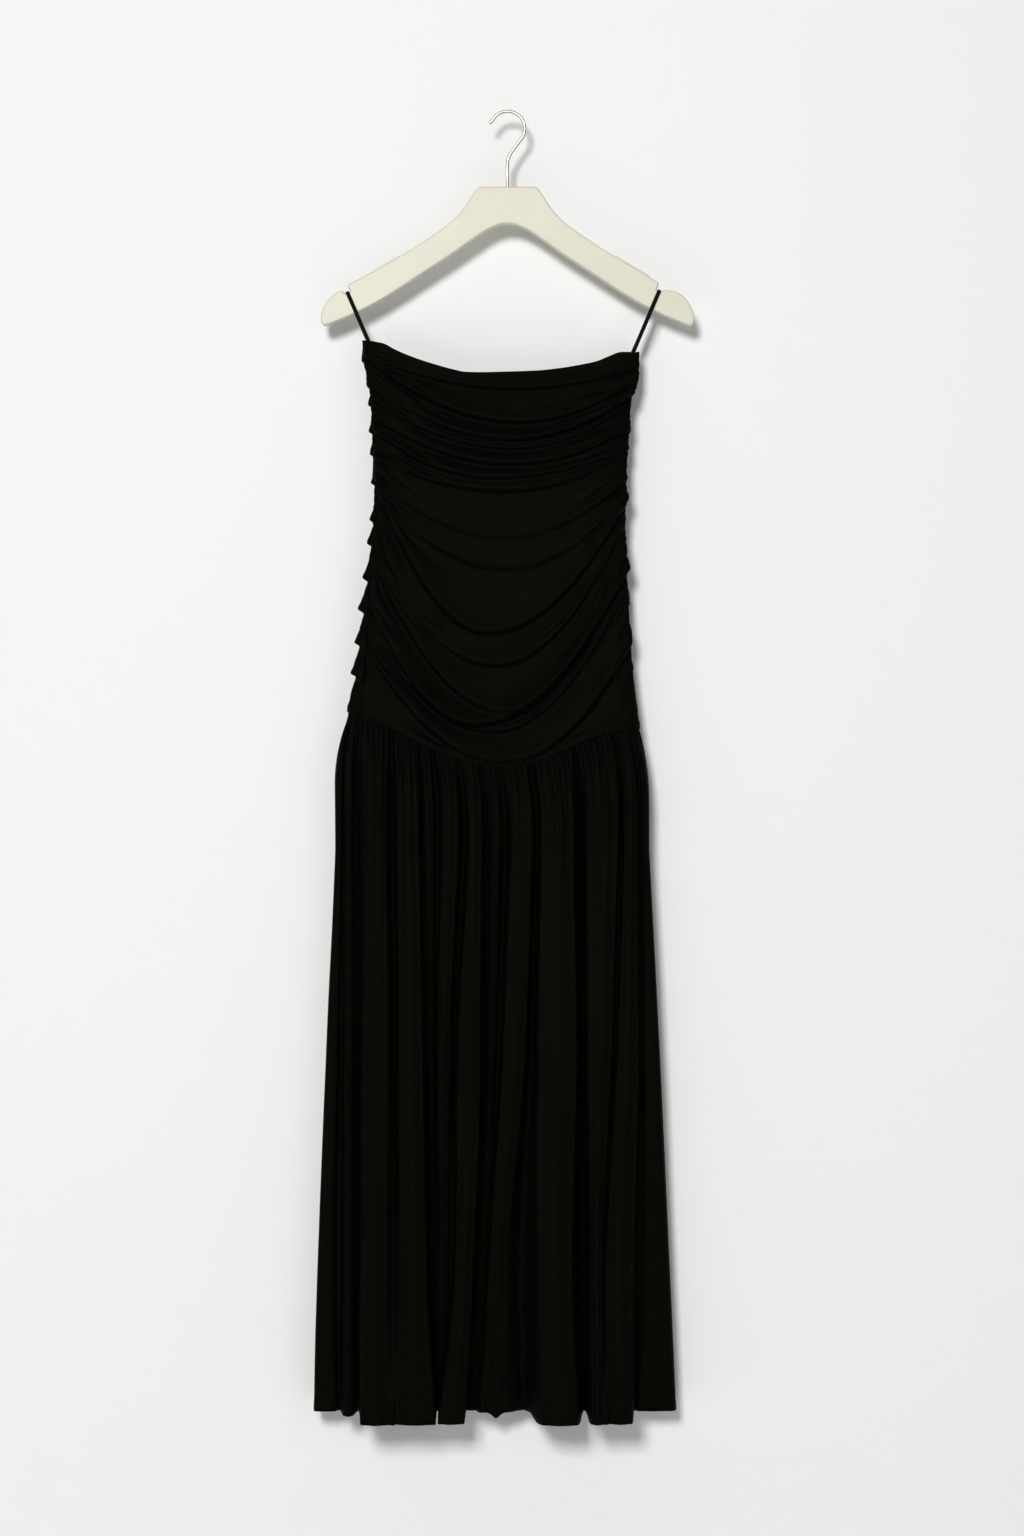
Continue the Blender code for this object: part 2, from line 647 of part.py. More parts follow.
def build_hook(collection, finish):
    """The wire: a straight stem, a bend out to the right, and an open hook round to the left."""
    centre = Vector((0, 0, -HOOK_RADIUS + WIRE_RADIUS))
    path = [Vector((0, 0, STEM_BOTTOM)), Vector((0, 0, -84)), Vector((0, 0, -60)), Vector((0.4, 0, -55))]
    path += [Vector((2, 0, -50)), Vector((6, 0, -43.5)), Vector((11, 0, -36.5))]
    for degrees in range(-42, 136, 9):
        turn = math.radians(degrees)
        path.append(centre + Vector((math.cos(turn), 0, math.sin(turn))) * HOOK_RADIUS)
    end = path[-1]
    path += [end + Vector((-0.62, 0, -0.78)) * reach for reach in (6, 13)]
    curve = bpy.data.curves.new("hanger_hook", "CURVE")
    curve.dimensions = "3D"
    curve.bevel_depth = WIRE_RADIUS * MM
    curve.bevel_resolution = 2
    curve.use_fill_caps = True
    spline = curve.splines.new("POLY")
    spline.points.add(len(path) - 1)
    for point, place in zip(spline.points, path):
        point.co = (*(place * MM), 1)
    return add_object("hanger_hook", curve, collection, finish)


def build_grip(side, collection, finish):
    """A ribbed strip along the top of one arm, which stops straps sliding."""
    sign = 1 if side == "right" else -1
    start, end = Vector((124, -166.2)), Vector((163, -189.4))
    along = (end - start).normalized()
    up = Vector((-along.y, along.x))
    length = (end - start).length
    pitch = length / GRIP_TEETH
    outline = [start + up * GAP, start + up * 1.3]
    for k in range(GRIP_TEETH):
        foot = start + along * pitch * k + up * 1.3
        outline += [foot + along * pitch * 0.25 + up * 1.2, foot + along * pitch * 0.6 + up * 1.2]
        outline.append(foot + along * pitch * 0.85)
    outline += [end + up * 1.3, end + up * GAP]
    points = [(sign * p.x, p.y) for p in outline]
    grip = flat_curve("grip_" + side, points, 2.5, 0, collection, finish)
    grip.rotation_euler = (math.pi / 2, 0, 0)
    return grip


def build_loop(side, collection, finish):
    """A narrow tape that runs up from inside the neck edge, over the notch and down again."""
    notch = NOTCH_MIDDLE[side]
    over = HANGER_THICK / 2 + GAP + TAPE_THICK / 2
    crown = notch - strand(side) * (GAP + TAPE_THICK / 2)
    legs = {}
    for out in (1, -1):
        foot = LOOP_FOOT[side] if out == 1 else LOOP_BACK_FOOT[side]
        down = (foot - notch).normalized()
        sewn = foot + down * TAPE_SEWN
        within = inner_depth(out, foot)
        places = (sewn, foot, foot - down * 8, foot.lerp(notch, 0.45), notch + down * 4, notch + down)
        depths = (within, within, (within + over) / 2, over, over, over)
        across = Vector((-down.y, 0, down.x))
        legs[out] = [(Vector((p.x, -out * y, p.y)), across) for p, y in zip(places, depths)]
    across = legs[1][-1][1]
    top = [(Vector((crown.x, y, crown.y)), across) for y in (-over + 1, 0, over - 1)]
    path = legs[1] + top + legs[-1][::-1]
    return ribbon("loop_" + side, path, collection, finish)


def inner_depth(out, place):
    """How far in front of or behind the middle a tape lies where it is sewn inside the bodice."""
    beyond = TAPE_WIDTH / 2 + BODICE_WALL
    inset = min(place.x - edge_left(place.y), edge_right(place.y) - place.x) - beyond
    share = max(inset, 0.1) / (edge_right(place.y) - edge_left(place.y))
    wall = abs(tube_point(out * math.acos(1 - 2 * share), place.y).y)
    return max(TAPE_THICK, wall - BODICE_WALL - 3 * GAP - TAPE_THICK / 2)


def ribbon(name, path, collection, finish):
    """A flat tape with square edges, swept along (place, direction of its width) pairs."""
    points, quads = [], []
    for k, (place, across) in enumerate(path):
        along = path[min(k + 1, len(path) - 1)][0] - path[max(k - 1, 0)][0]
        flat = along.cross(across).normalized() * TAPE_THICK / 2
        side = across.normalized() * TAPE_WIDTH / 2
        points += [place - side - flat, place + side - flat, place + side + flat, place - side + flat]
    for k in range(len(path) - 1):
        for i in range(4):
            a, b = 4 * k + i, 4 * k + (i + 1) % 4
            quads.append((a, b, b + 4, a + 4))
    last = 4 * (len(path) - 1)
    quads += [(3, 2, 1, 0), (last, last + 1, last + 2, last + 3)]
    mesh = bpy.data.meshes.new(name)
    mesh.from_pydata([point * MM for point in points], [], quads)
    return add_object(name, mesh, collection, finish)


def main():
    for thing in list(bpy.data.objects):
        bpy.data.objects.remove(thing)
    dress = bpy.data.collections.new("Dropped waist dress")
    cutters = bpy.data.collections.new("Cutters")
    for collection in (dress, cutters):
        bpy.context.scene.collection.children.link(collection)
    cutters.hide_render = True

    jersey = material("Black jersey", (0.006, 0.007, 0.005), 0.7)
    tape = material("Black tape", (0.004, 0.004, 0.004), 0.6)
    paint = material("Cream paint", (0.72, 0.69, 0.6), 0.5)
    rubber = material("Clear grip", (0.78, 0.77, 0.72), 0.4)
    steel = material("Nickel wire", (0.66, 0.65, 0.6), 0.3, 1.0)

    for panel in ("front", "back"):
        cloth_panel("bodice_" + panel, bodice_faces(panel), dress, jersey)
        cloth_panel("skirt_" + panel, skirt_faces(panel), dress, jersey)
    build_hanger(dress, cutters, paint)
    build_hook(dress, steel)
    for side in ("left", "right"):
        build_grip(side, dress, rubber)
        build_loop(side, dress, tape)


main()
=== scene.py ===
# Strapless dropped waist dress in black jersey, on a flat cream hanger.
# Front is -Y, origin on the underside of the hook's crown. Shapes are worked out in millimetres.
import math

import bpy
import numpy as np
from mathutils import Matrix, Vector


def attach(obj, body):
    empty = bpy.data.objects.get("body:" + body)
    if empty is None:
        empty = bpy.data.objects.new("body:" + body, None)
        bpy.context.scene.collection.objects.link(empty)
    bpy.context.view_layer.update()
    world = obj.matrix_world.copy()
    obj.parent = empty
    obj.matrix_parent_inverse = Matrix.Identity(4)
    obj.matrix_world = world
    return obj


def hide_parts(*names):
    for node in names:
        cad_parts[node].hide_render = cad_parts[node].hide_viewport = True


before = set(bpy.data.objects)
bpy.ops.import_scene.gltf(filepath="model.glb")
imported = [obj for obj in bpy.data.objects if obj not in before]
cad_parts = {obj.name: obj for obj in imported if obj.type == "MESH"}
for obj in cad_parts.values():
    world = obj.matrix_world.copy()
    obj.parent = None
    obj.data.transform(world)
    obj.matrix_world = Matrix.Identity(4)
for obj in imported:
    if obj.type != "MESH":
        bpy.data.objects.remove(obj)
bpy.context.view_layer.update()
mm = 0.001
seamGap = 0.3

# camera: square on to the dress, a little over three metres away
photo = {
    "height": 1536,
    "mmPerPixel": 1.1559,
    "centre": (5.2, -757.1),
    "distance": 3200,
    "sensorHeight": 24,
}


def buildCamera():
    data = bpy.data.cameras.new("camera")
    data.sensor_fit = "VERTICAL"
    data.sensor_height = photo["sensorHeight"]
    data.lens = photo["sensorHeight"] * photo["distance"] / (photo["height"] * photo["mmPerPixel"])
    data.clip_end = 50
    camera = bpy.data.objects.new("camera", data)
    bpy.context.scene.collection.objects.link(camera)
    camera.location = (photo["centre"][0] * mm, -photo["distance"] * mm, photo["centre"][1] * mm)
    camera.rotation_euler = (math.pi / 2, 0, 0)
    bpy.context.scene.camera = camera


buildCamera()
print("camera ready")


# materials
class Wire:
    # a shader socket that can be added, multiplied and so on
    def __init__(self, tree, socket):
        self.tree, self.socket = tree, socket

    def sum(self, operation, first, second):
        node = self.tree.nodes.new("ShaderNodeMath")
        node.operation = operation
        for index, value in enumerate((first, second)):
            if isinstance(value, Wire):
                self.tree.links.new(value.socket, node.inputs[index])
            else:
                node.inputs[index].default_value = value
        return Wire(self.tree, node.outputs[0])

    def __add__(self, other):
        return self.sum("ADD", self, other)

    def __radd__(self, other):
        return self.sum("ADD", other, self)

    def __sub__(self, other):
        return self.sum("SUBTRACT", self, other)

    def __rsub__(self, other):
        return self.sum("SUBTRACT", other, self)

    def __mul__(self, other):
        return self.sum("MULTIPLY", self, other)

    def __rmul__(self, other):
        return self.sum("MULTIPLY", other, self)

    def clamp(self):
        return self.sum("MAXIMUM", self.sum("MINIMUM", self, 1.0), 0.0)


class Finish:
    # a material with one Principled surface; fixed holds the values that are the same all over
    def __init__(self, name, colour, fixed):
        self.material = bpy.data.materials.new(name)
        self.material.use_nodes = True
        self.tree = self.material.node_tree
        self.surface = self.tree.nodes["Principled BSDF"]
        self.surface.inputs["Base Color"].default_value = (*colour, 1)
        for socket, value in fixed.items():
            self.surface.inputs[socket].default_value = value

    def node(self, kind, settings=None, values=None, out=0):
        made = self.tree.nodes.new("ShaderNode" + kind)
        for name, value in (settings or {}).items():
            setattr(made, name, value)
        for name, value in (values or {}).items():
            if isinstance(value, Wire):
                self.tree.links.new(value.socket, made.inputs[name])
            else:
                made.inputs[name].default_value = value
        return Wire(self.tree, made.outputs[out])

    def feed(self, socket, wire):
        self.tree.links.new(wire.socket, self.surface.inputs[socket])

    def place(self, stretch=(1, 1, 1)):
        spot = self.node("TexCoord", out=3)
        return self.node("Mapping", {"vector_type": "POINT"}, {"Vector": spot, "Scale": stretch})

    def noise(self, size, stretch=(1, 1, 1), detail=3.0, rough=0.5):
        values = {"Vector": self.place(stretch), "Scale": 1 / size, "Detail": detail, "Roughness": rough}
        return self.node("TexNoise", {}, values)

    def twoColours(self, mask, first, second):
        return self.node("Mix", {"data_type": "RGBA"}, {0: mask, 6: (*first, 1), 7: (*second, 1)}, out=2)

    def bump(self, height, depth, strength):
        values = {"Height": height, "Distance": depth, "Strength": strength}
        self.feed("Normal", self.node("Bump", {}, values))


jerseyLook = {
    "dark": (0.0009, 0.0012, 0.0006),
    "light": (0.0021, 0.0027, 0.0015),
    "knit": 0.0007,
    "crinkle": 0.011,
    "fixed": {"Sheen Weight": 0.0, "Specular IOR Level": 0.026, "Specular Tint": (0.84, 1.0, 0.66, 1)},
}


def jerseyFinish(name, stretch):
    # fine knit: ribs too small to count, a faint crinkle, and a roughness that changes from thread to
    # thread; the base colour is painted lighter where the knit and crinkle stand up and darker in their
    # hollows (painted highlight and painted shade), plus a slow random tone
    finish = Finish(name, jerseyLook["dark"], jerseyLook["fixed"])
    knit = finish.noise(jerseyLook["knit"], stretch, 2.0)
    crinkle = finish.noise(jerseyLook["crinkle"], stretch, 4.0, 0.6)
    cloud = finish.noise(0.09)
    # painted highlight and shade: the colour follows the same knit and crinkle noise as the bump, so raised
    # threads are lighter; the cloud part is random tone
    mask = (knit * 0.5 + crinkle * 0.3 + cloud * 0.5 - 0.15).clamp()
    finish.feed("Base Color", finish.twoColours(mask, jerseyLook["dark"], jerseyLook["light"]))
    finish.feed("Roughness", (0.5 + knit * 0.12 + cloud * 0.12).clamp())
    finish.bump(knit * 0.25 + crinkle * 0.75, 0.0009, 0.4)
    return finish.material


def tapeFinish():
    finish = Finish("blackTape", (0.004, 0.004, 0.0036), {"Specular IOR Level": 0.08})
    ribs = {"Vector": finish.place(), "Scale": 900.0, "Distortion": 0.6}
    weave = finish.node("TexWave", {"wave_type": "BANDS", "bands_direction": "Z"}, ribs)
    grain = finish.noise(0.0005)
    finish.feed("Roughness", 0.5 + grain * 0.2)
    finish.bump(weave * 0.7 + grain * 0.3, 0.0002, 0.6)
    return finish.material


def paintFinish():
    fixed = {"Coat Weight": 0.12, "Coat Roughness": 0.35, "Specular IOR Level": 0.35}
    finish = Finish("creamPaint", (0.7, 0.67, 0.56), fixed)
    cloud = finish.noise(0.06)
    speck = finish.noise(0.0016, (1, 1, 1), 2.0)
    grain = finish.noise(0.02, (0.25, 1, 1), 4.0)
    mask = (cloud * 0.7 + grain * 0.5 - 0.1).clamp()
    finish.feed("Base Color", finish.twoColours(mask, (0.70, 0.672, 0.555), (0.645, 0.615, 0.505)))
    finish.feed("Roughness", 0.36 + speck * 0.1 + cloud * 0.1)
    finish.bump(speck * 0.4 + grain * 0.6, 0.0003, 0.35)
    return finish.material


def gripFinish():
    finish = Finish("creamStrip", (0.74, 0.71, 0.6), {"Specular IOR Level": 0.35})
    speck = finish.noise(0.001)
    finish.feed("Base Color", finish.twoColours(speck, (0.78, 0.75, 0.64), (0.7, 0.665, 0.55)))
    finish.feed("Roughness", 0.5 + speck * 0.2)
    finish.bump(speck, 0.0002, 0.4)
    return finish.material


def wireFinish():
    finish = Finish("brightWire", (0.6, 0.58, 0.52), {"Metallic": 1.0})
    brushed = finish.noise(0.0009, (1, 1, 0.15))
    cloud = finish.noise(0.012)
    finish.feed("Base Color", finish.twoColours(cloud, (0.62, 0.60, 0.53), (0.46, 0.44, 0.38)))
    finish.feed("Roughness", 0.2 + brushed * 0.16 + cloud * 0.06)
    finish.bump(brushed, 0.00005, 0.4)
    return finish.material


def roomFinish(name, colour):
    finish = Finish(name, colour, {"Roughness": 0.9, "Specular IOR Level": 0.1})
    front = Wire(finish.tree, finish.surface.outputs[0])
    clear = finish.node("BsdfTransparent")
    behind = finish.node("NewGeometry", out="Backfacing")
    seen = finish.node("MixShader", {}, {0: behind, 1: front, 2: clear})
    finish.tree.links.new(seen.socket, finish.tree.nodes["Material Output"].inputs["Surface"])
    return finish.material


finishes = {
    "bodice": jerseyFinish("jerseyBodice", (1, 1, 1.3)),
    "skirt": jerseyFinish("jerseySkirt", (1, 1, 0.6)),
    "tape": tapeFinish(),
    "paint": paintFinish(),
    "grip": gripFinish(),
    "wire": wireFinish(),
}
print("materials ready")


# sums that the cloth shapes share
def soft(share):
    share = np.clip(share, 0, 1)
    return share * share * (3 - 2 * share)


def curveThrough(knots):
    # smooth function through (x, y) knots, with no overshoot
    xs = np.array([knot[0] for knot in knots], float)
    ys = np.array([knot[1] for knot in knots], float)
    rises = np.diff(ys) / np.diff(xs)
    slopes = np.zeros(len(xs))
    slopes[0], slopes[-1] = rises[0], rises[-1]
    for k in range(1, len(xs) - 1):
        before, after = rises[k - 1], rises[k]
        slopes[k] = 0 if before * after <= 0 else 2 * before * after / (before + after)

    def value(x):
        x = np.clip(np.asarray(x, float), xs[0], xs[-1])
        k = np.clip(np.searchsorted(xs, x, side="right") - 1, 0, len(xs) - 2)
        span = xs[k + 1] - xs[k]
        t = (x - xs[k]) / span
        start = (1 + 2 * t) * (1 - t) ** 2 * ys[k] + t * (1 - t) ** 2 * span * slopes[k]
        return start + t * t * (3 - 2 * t) * ys[k + 1] + t * t * (t - 1) * span * slopes[k + 1]

    return value


def columnOf(table, column):
    return curveThrough(sorted((row[0], row[column]) for row in table))


def wander(place, size, seed):
    # slow random curve from -1 to 1, the same on each run
    picks = np.random.default_rng(seed).uniform(-1, 1, 4096)
    at = np.asarray(place, float) / size + 700.5
    low = np.floor(at).astype(int)
    t = soft(at - low)
    return picks[low % 4096] * (1 - t) + picks[(low + 1) % 4096] * t


def wander2(across, down, sizeAcross, sizeDown, seed):
    picks = np.random.default_rng(seed).uniform(-1, 1, (256, 256))
    a, b = across / sizeAcross + 60.5, down / sizeDown + 60.5
    i, j = np.floor(a).astype(int), np.floor(b).astype(int)
    s, t = soft(a - i), soft(b - j)
    i, j = i % 255, j % 255
    top = picks[i, j] * (1 - s) + picks[i + 1, j] * s
    low = picks[i, j + 1] * (1 - s) + picks[i + 1, j + 1] * s
    return top * (1 - t) + low * t


# bodice: a flat tube. Angle 0 is its left edge, pi / 2 the middle of the front, pi its right edge
bodice = {
    "wall": 1.3,
    "columns": {"front": 230, "back": 190},
    "rows": 320,
    "fullness": 0.72,
    "seamFade": 16,
    "seamCalm": 12,
    "crowding": 40,
    "neckLevel": -270,
    "middleLevel": -500,
    "waistLevel": -720,
    "foldsBetween": (-255.0, -790.0),
    # gathers for each fold, height, and how far they run in from a side seam
    "ruching": ((2.3, 1.1, 48), (3.7, 0.7, 30), (1.4, 1.1, 85)),
    "ruchingSize": 1.7,
    "foldDepth": 1.6,
    "creaseWidth": 0.4,
    "fullBetween": 0.9,
    # height, left edge, right edge, depth in front, depth behind, degrees the left seam has turned
    "outline": (
        (-255, -168, 150, 13, 12, 6),
        (-285, -167, 152, 14, 13, 6),
        (-312, -161, 150, 15, 14, 6),
        (-326, -159, 144, 16, 14, 6),
        (-378, -157, 140, 17, 15, 6),
        (-447, -154, 136, 18, 16, 8),
        (-517, -161, 137, 19, 17, 13),
        (-563, -167, 140, 20, 18, 17),
        (-632, -175, 144, 22, 19, 22),
        (-690, -184, 150, 24, 20, 24),
        (-780, -193, 158, 25, 21, 24),
    ),
    # share of the width, neck edge in front, waist seam in front
    "frontEdges": (
        (0.00, -263, -692),
        (0.05, -265.5, -700),
        (0.09, -270.5, -704),
        (0.16, -281, -714),
        (0.25, -291.5, -727),
        (0.33, -299, -740),
        (0.42, -305, -750),
        (0.53, -308.5, -756),
        (0.62, -308, -752),
        (0.72, -305, -740),
        (0.83, -298, -724),
        (0.91, -290, -717),
        (1.00, -276, -712),
    ),
    "backEdges": (
        (0.00, -263, -692),
        (0.06, -264, -696),
        (0.15, -278, -706),
        (0.24, -288.5, -713),
        (0.32, -296, -721),
        (0.42, -297.5, -728),
        (0.50, -297, -731),
        (0.63, -295.5, -732),
        (0.71, -293, -730),
        (0.80, -288.5, -726),
        (0.85, -285, -722),
        (0.89, -280, -719),
        (0.94, -275, -715),
        (1.00, -276, -712),
    ),
}
# draped folds: left end x and z, lowest point x and z, right end x and z, depth, width,
# and how much of the fold is left at each end
swags = {
    "front": (
        (-166, -281, 10, -322, 142, -298, 3.0, 8, 0.5, 0.8),
        (-161, -286, 14, -361, 142, -315, 4.0, 9, 0.9, 0.6),
        (-156, -318, 5, -381, 141, -329, 5.5, 9, 0.3, 0.8),
        (-153, -334, 8, -391, 139, -339, 3.0, 7, 0.6, 0.6),
        (-150, -356, 4, -409, 138, -368, 4.5, 9, 0.4, 0.8),
        (-149, -374, -16, -425, 136, -391, 3.5, 8, 0.8, 0.5),
        (-150, -402, -4, -440, 136, -398, 3.5, 10, 0.4, 0.4),
        (-153, -424, -4, -494, 135, -426, 1.6, 10, 0.9, 0.9),
        (-152, -440, -2, -530, 136, -446, 2.0, 10, 0.7, 0.7),
        (-151, -436, -22, -604, 136, -452, 4.5, 12, 0.9, 0.9),
        (-151, -478, -18, -622, 134, -470, 1.0, 8, 0.9, 0.9),
        (-148, -520, -14, -641, 130, -488, 3.0, 10, 0.2, 0.9),
        (-153, -524, -3, -694, 133, -516, 3.5, 11, 0.9, 0.2),
        (-154, -579, -36, -709, 136, -532, 6.5, 12, 0.8, 0.9),
        (-157, -602, -18, -717, 138, -550, 3.0, 9, 0.8, 0.8),
        (-160, -624, -4, -753, 144, -612, 4.5, 11, 0.8, 0.9),
    ),
    "back": (
        (-163, -290, -10, -324, 145, -304, 2.5, 9, 0.7, 0.6),
        (-159, -318, 2, -352, 142, -322, 4.0, 10, 0.6, 0.8),
        (-156, -340, -12, -381, 141, -352, 3.5, 9, 0.8, 0.6),
        (-154, -372, 6, -414, 139, -371, 4.5, 11, 0.5, 0.9),
        (-153, -398, -8, -448, 137, -406, 3.0, 10, 0.9, 0.5),
        (-154, -430, 12, -484, 136, -428, 4.0, 12, 0.6, 0.8),
        (-156, -448, 0, -508, 136, -448, 1.0, 8, 0.6, 0.6),
        (-158, -470, -14, -532, 136, -470, 3.0, 11, 0.8, 0.7),
        (-161, -498, 4, -566, 137, -494, 4.5, 12, 0.7, 0.8),
        (-166, -538, -10, -604, 139, -534, 3.5, 11, 0.8, 0.6),
        (-171, -574, 8, -640, 142, -566, 5.0, 12, 0.6, 0.9),
        (-176, -612, -12, -676, 144, -604, 3.5, 11, 0.8, 0.7),
        (-181, -648, 4, -706, 147, -642, 4.0, 11, 0.7, 0.8),
    ),
}

bodiceCurves = [columnOf(bodice["outline"], k) for k in range(1, 6)]
edgeLeft, edgeRight, depthFront, depthBack, seamTurn = bodiceCurves
edges = {
    "neck": {"front": columnOf(bodice["frontEdges"], 1), "back": columnOf(bodice["backEdges"], 1)},
    "waist": {"front": columnOf(bodice["frontEdges"], 2), "back": columnOf(bodice["backEdges"], 2)},
}


def tubePoint(angle, height):
    left, right, out = edgeLeft(height), edgeRight(height), np.sin(angle)
    depth = np.where(out > 0, depthFront(height), depthBack(height))
    x = (left + right) / 2 - (right - left) / 2 * np.cos(angle)
    return x, -np.sign(out) * depth * np.abs(out) ** bodice["fullness"]


def tubeNormal(angle, height):
    x0, y0 = tubePoint(angle - 0.03, height)
    x1, y1 = tubePoint(angle + 0.03, height)
    length = np.hypot(x1 - x0, y1 - y0)
    return (y1 - y0) / length, (x0 - x1) / length


def edgeHeight(angle, edge):
    share = (1 - np.cos(angle)) / 2
    return np.where(np.sin(angle) > 0, edges[edge]["front"](share), edges[edge]["back"](share))


def panelAngle(panel, share, height):
    turned = np.radians(seamTurn(height))
    if panel == "front":
        return turned + (math.pi - turned) * share
    return math.pi + (math.pi + turned) * share


def spread(panel, height, count):
    # shares from seam to seam for evenly spaced columns, a little closer together at the edges
    steps = np.linspace(0, 1, 601)
    angles = panelAngle(panel, steps, height)
    x, y = tubePoint(angles, height)
    lengths = np.hypot(np.diff(x), np.diff(y)) + bodice["crowding"] * np.diff(angles)
    lengths = np.concatenate([[0], np.cumsum(lengths)])
    return np.interp(np.linspace(0, lengths[-1], count + 1), lengths, steps)


def swagLine(swag, x):
    leftX, leftZ, lowX, lowZ, rightX, rightZ = swag[:6]
    run = np.where(x < lowX, leftX - lowX, rightX - lowX)
    top = np.where(x < lowX, leftZ - lowZ, rightZ - lowZ)
    along = (x - lowX) / run
    return lowZ + top * along**2, 2 * top * along / run, along


def swagRise(swag, x, z):
    line, slope, along = swagLine(swag, x)
    lowX, depth, width, keepLeft, keepRight = swag[2], *swag[6:]
    keep = np.where(x < lowX, keepLeft, keepRight)
    across = (z - line) / np.hypot(1, slope)
    strength = bodice["foldDepth"] * depth * (1 + (keep - 1) * soft(along))
    near = np.abs(across) / (width * (1 - 0.45 * np.minimum(1, along) ** 2))
    # steep at the crease itself, with a long soft slope on either side
    bump = 2.96 * near / (near + bodice["creaseWidth"]) * np.exp(-near)
    return strength * np.where(across > 0, bump, -0.5 * bump)


def foldCount(panel, x, z):
    # how many folds lie above a place, so that small wrinkles can run along with the folds
    count = np.zeros_like(x)
    highest, lowest = bodice["foldsBetween"]
    for j in range(x.shape[1]):
        middle = float(np.mean(x[:, j]))
        lines = [float(swagLine(swag, middle)[0]) for swag in swags[panel]]
        lines = np.minimum.accumulate(np.array([highest] + lines + [lowest]))
        lines = lines - np.arange(len(lines)) * 0.01
        count[:, j] = np.interp(-z[:, j], -lines, np.arange(len(lines)))
    return count


def bodiceSurface(panel):
    shares = spread(panel, bodice["middleLevel"], bodice["columns"][panel])[None, :]
    down = np.linspace(0, 1, bodice["rows"] + 1)[:, None]
    neck = edgeHeight(panelAngle(panel, shares, bodice["neckLevel"]), "neck")
    waist = edgeHeight(panelAngle(panel, shares, bodice["waistLevel"]), "waist")
    z = neck + (waist - neck) * down
    angle = panelAngle(panel, shares, z)
    x, y = tubePoint(angle, z)
    normalX, normalY = tubeNormal(angle, z)
    lift = sum(swagRise(swag, x, z) for swag in swags[panel])
    half = (edgeRight(z) - edgeLeft(z)) / 2
    turned = panelAngle(panel, 0.0 if panel == "front" else 1.0, z)
    fromLeft = np.abs(angle - turned) * half * 0.5
    fromRight = np.abs(angle - math.pi) * half * 0.5
    lift = lift * soft((z - waist) / bodice["seamCalm"]) * soft((neck - z) / bodice["seamCalm"] + 0.4)
    lift = lift * soft(np.minimum(fromLeft, fromRight) / bodice["seamFade"])

    # ruching: gathers that start at a side seam, run along the folds and die out
    count = foldCount(panel, x, z)
    seed = 11 if panel == "front" else 31
    inset = np.minimum(x - edgeLeft(z), edgeRight(z) - x)
    ruching = bodice["ruchingSize"] * (1 - 0.85 * normalX**2)
    for k, (perFold, height, reach) in enumerate(bodice["ruching"]):
        phase = wander2(x, z, 90, 60, seed + k) * 0.9
        wave = 2 * np.abs(np.sin(math.pi * (count * perFold + phase))) ** 0.8 - 1.2
        fade = np.exp(-((inset / reach) ** 2)) * (0.65 + 0.35 * wander2(x, z, 40, 14, seed + 5 + k))
        lift = lift + wave * fade * height * ruching * soft((z - waist) / 8) * soft((neck - z) / 8)
    # the cloth hangs a little fuller between two creases
    part = count - np.floor(count)
    lift = lift + bodice["fullBetween"] * np.sin(math.pi * part) * soft(inset / 40) * soft((z - waist) / 20)
    # small crossing wrinkles and an uneven surface
    lift = lift + 0.5 * wander2(x + 0.4 * z, z, 36, 17, seed + 9)
    lift = lift + 0.22 * wander2(x - 0.5 * z, z, 14, 9, seed + 10)
    # the neck edge turns over a little, with a row of stitches under it
    below = neck - z
    lift = lift + 0.5 * np.exp(-((below / 3.0) ** 2)) - 0.45 * np.exp(-(((below - 9) / 1.3) ** 2))
    # a soft roll over the waist seam, gathered
    above = z - waist
    gathers = np.sin(x * 2 * math.pi / 7.5 + 2.2 * wander(x, 30, seed + 12))
    lift = lift + 1.8 * np.exp(-(((above - 6) / 5) ** 2)) + 0.8 * np.exp(-((above / 2.5) ** 2))
    lift = lift + 0.45 * gathers * np.exp(-((above / 9) ** 2)) * soft(above / 3)
    lift = lift - 0.9 * np.exp(-((np.minimum(fromLeft, fromRight) / 1.6) ** 2))
    outer = np.stack([x + normalX * lift, y + normalY * lift, z], axis=-1)
    level = np.stack([normalX, normalY, np.zeros_like(z)], axis=-1)
    return outer, level


def newPiece(name, points, faces, material):
    mesh = bpy.data.meshes.new(name)
    mesh.from_pydata(points, [], faces)
    mesh.shade_smooth()
    mesh.materials.append(material)
    piece = bpy.data.objects.new(name, mesh)
    bpy.context.scene.collection.objects.link(piece)
    return piece


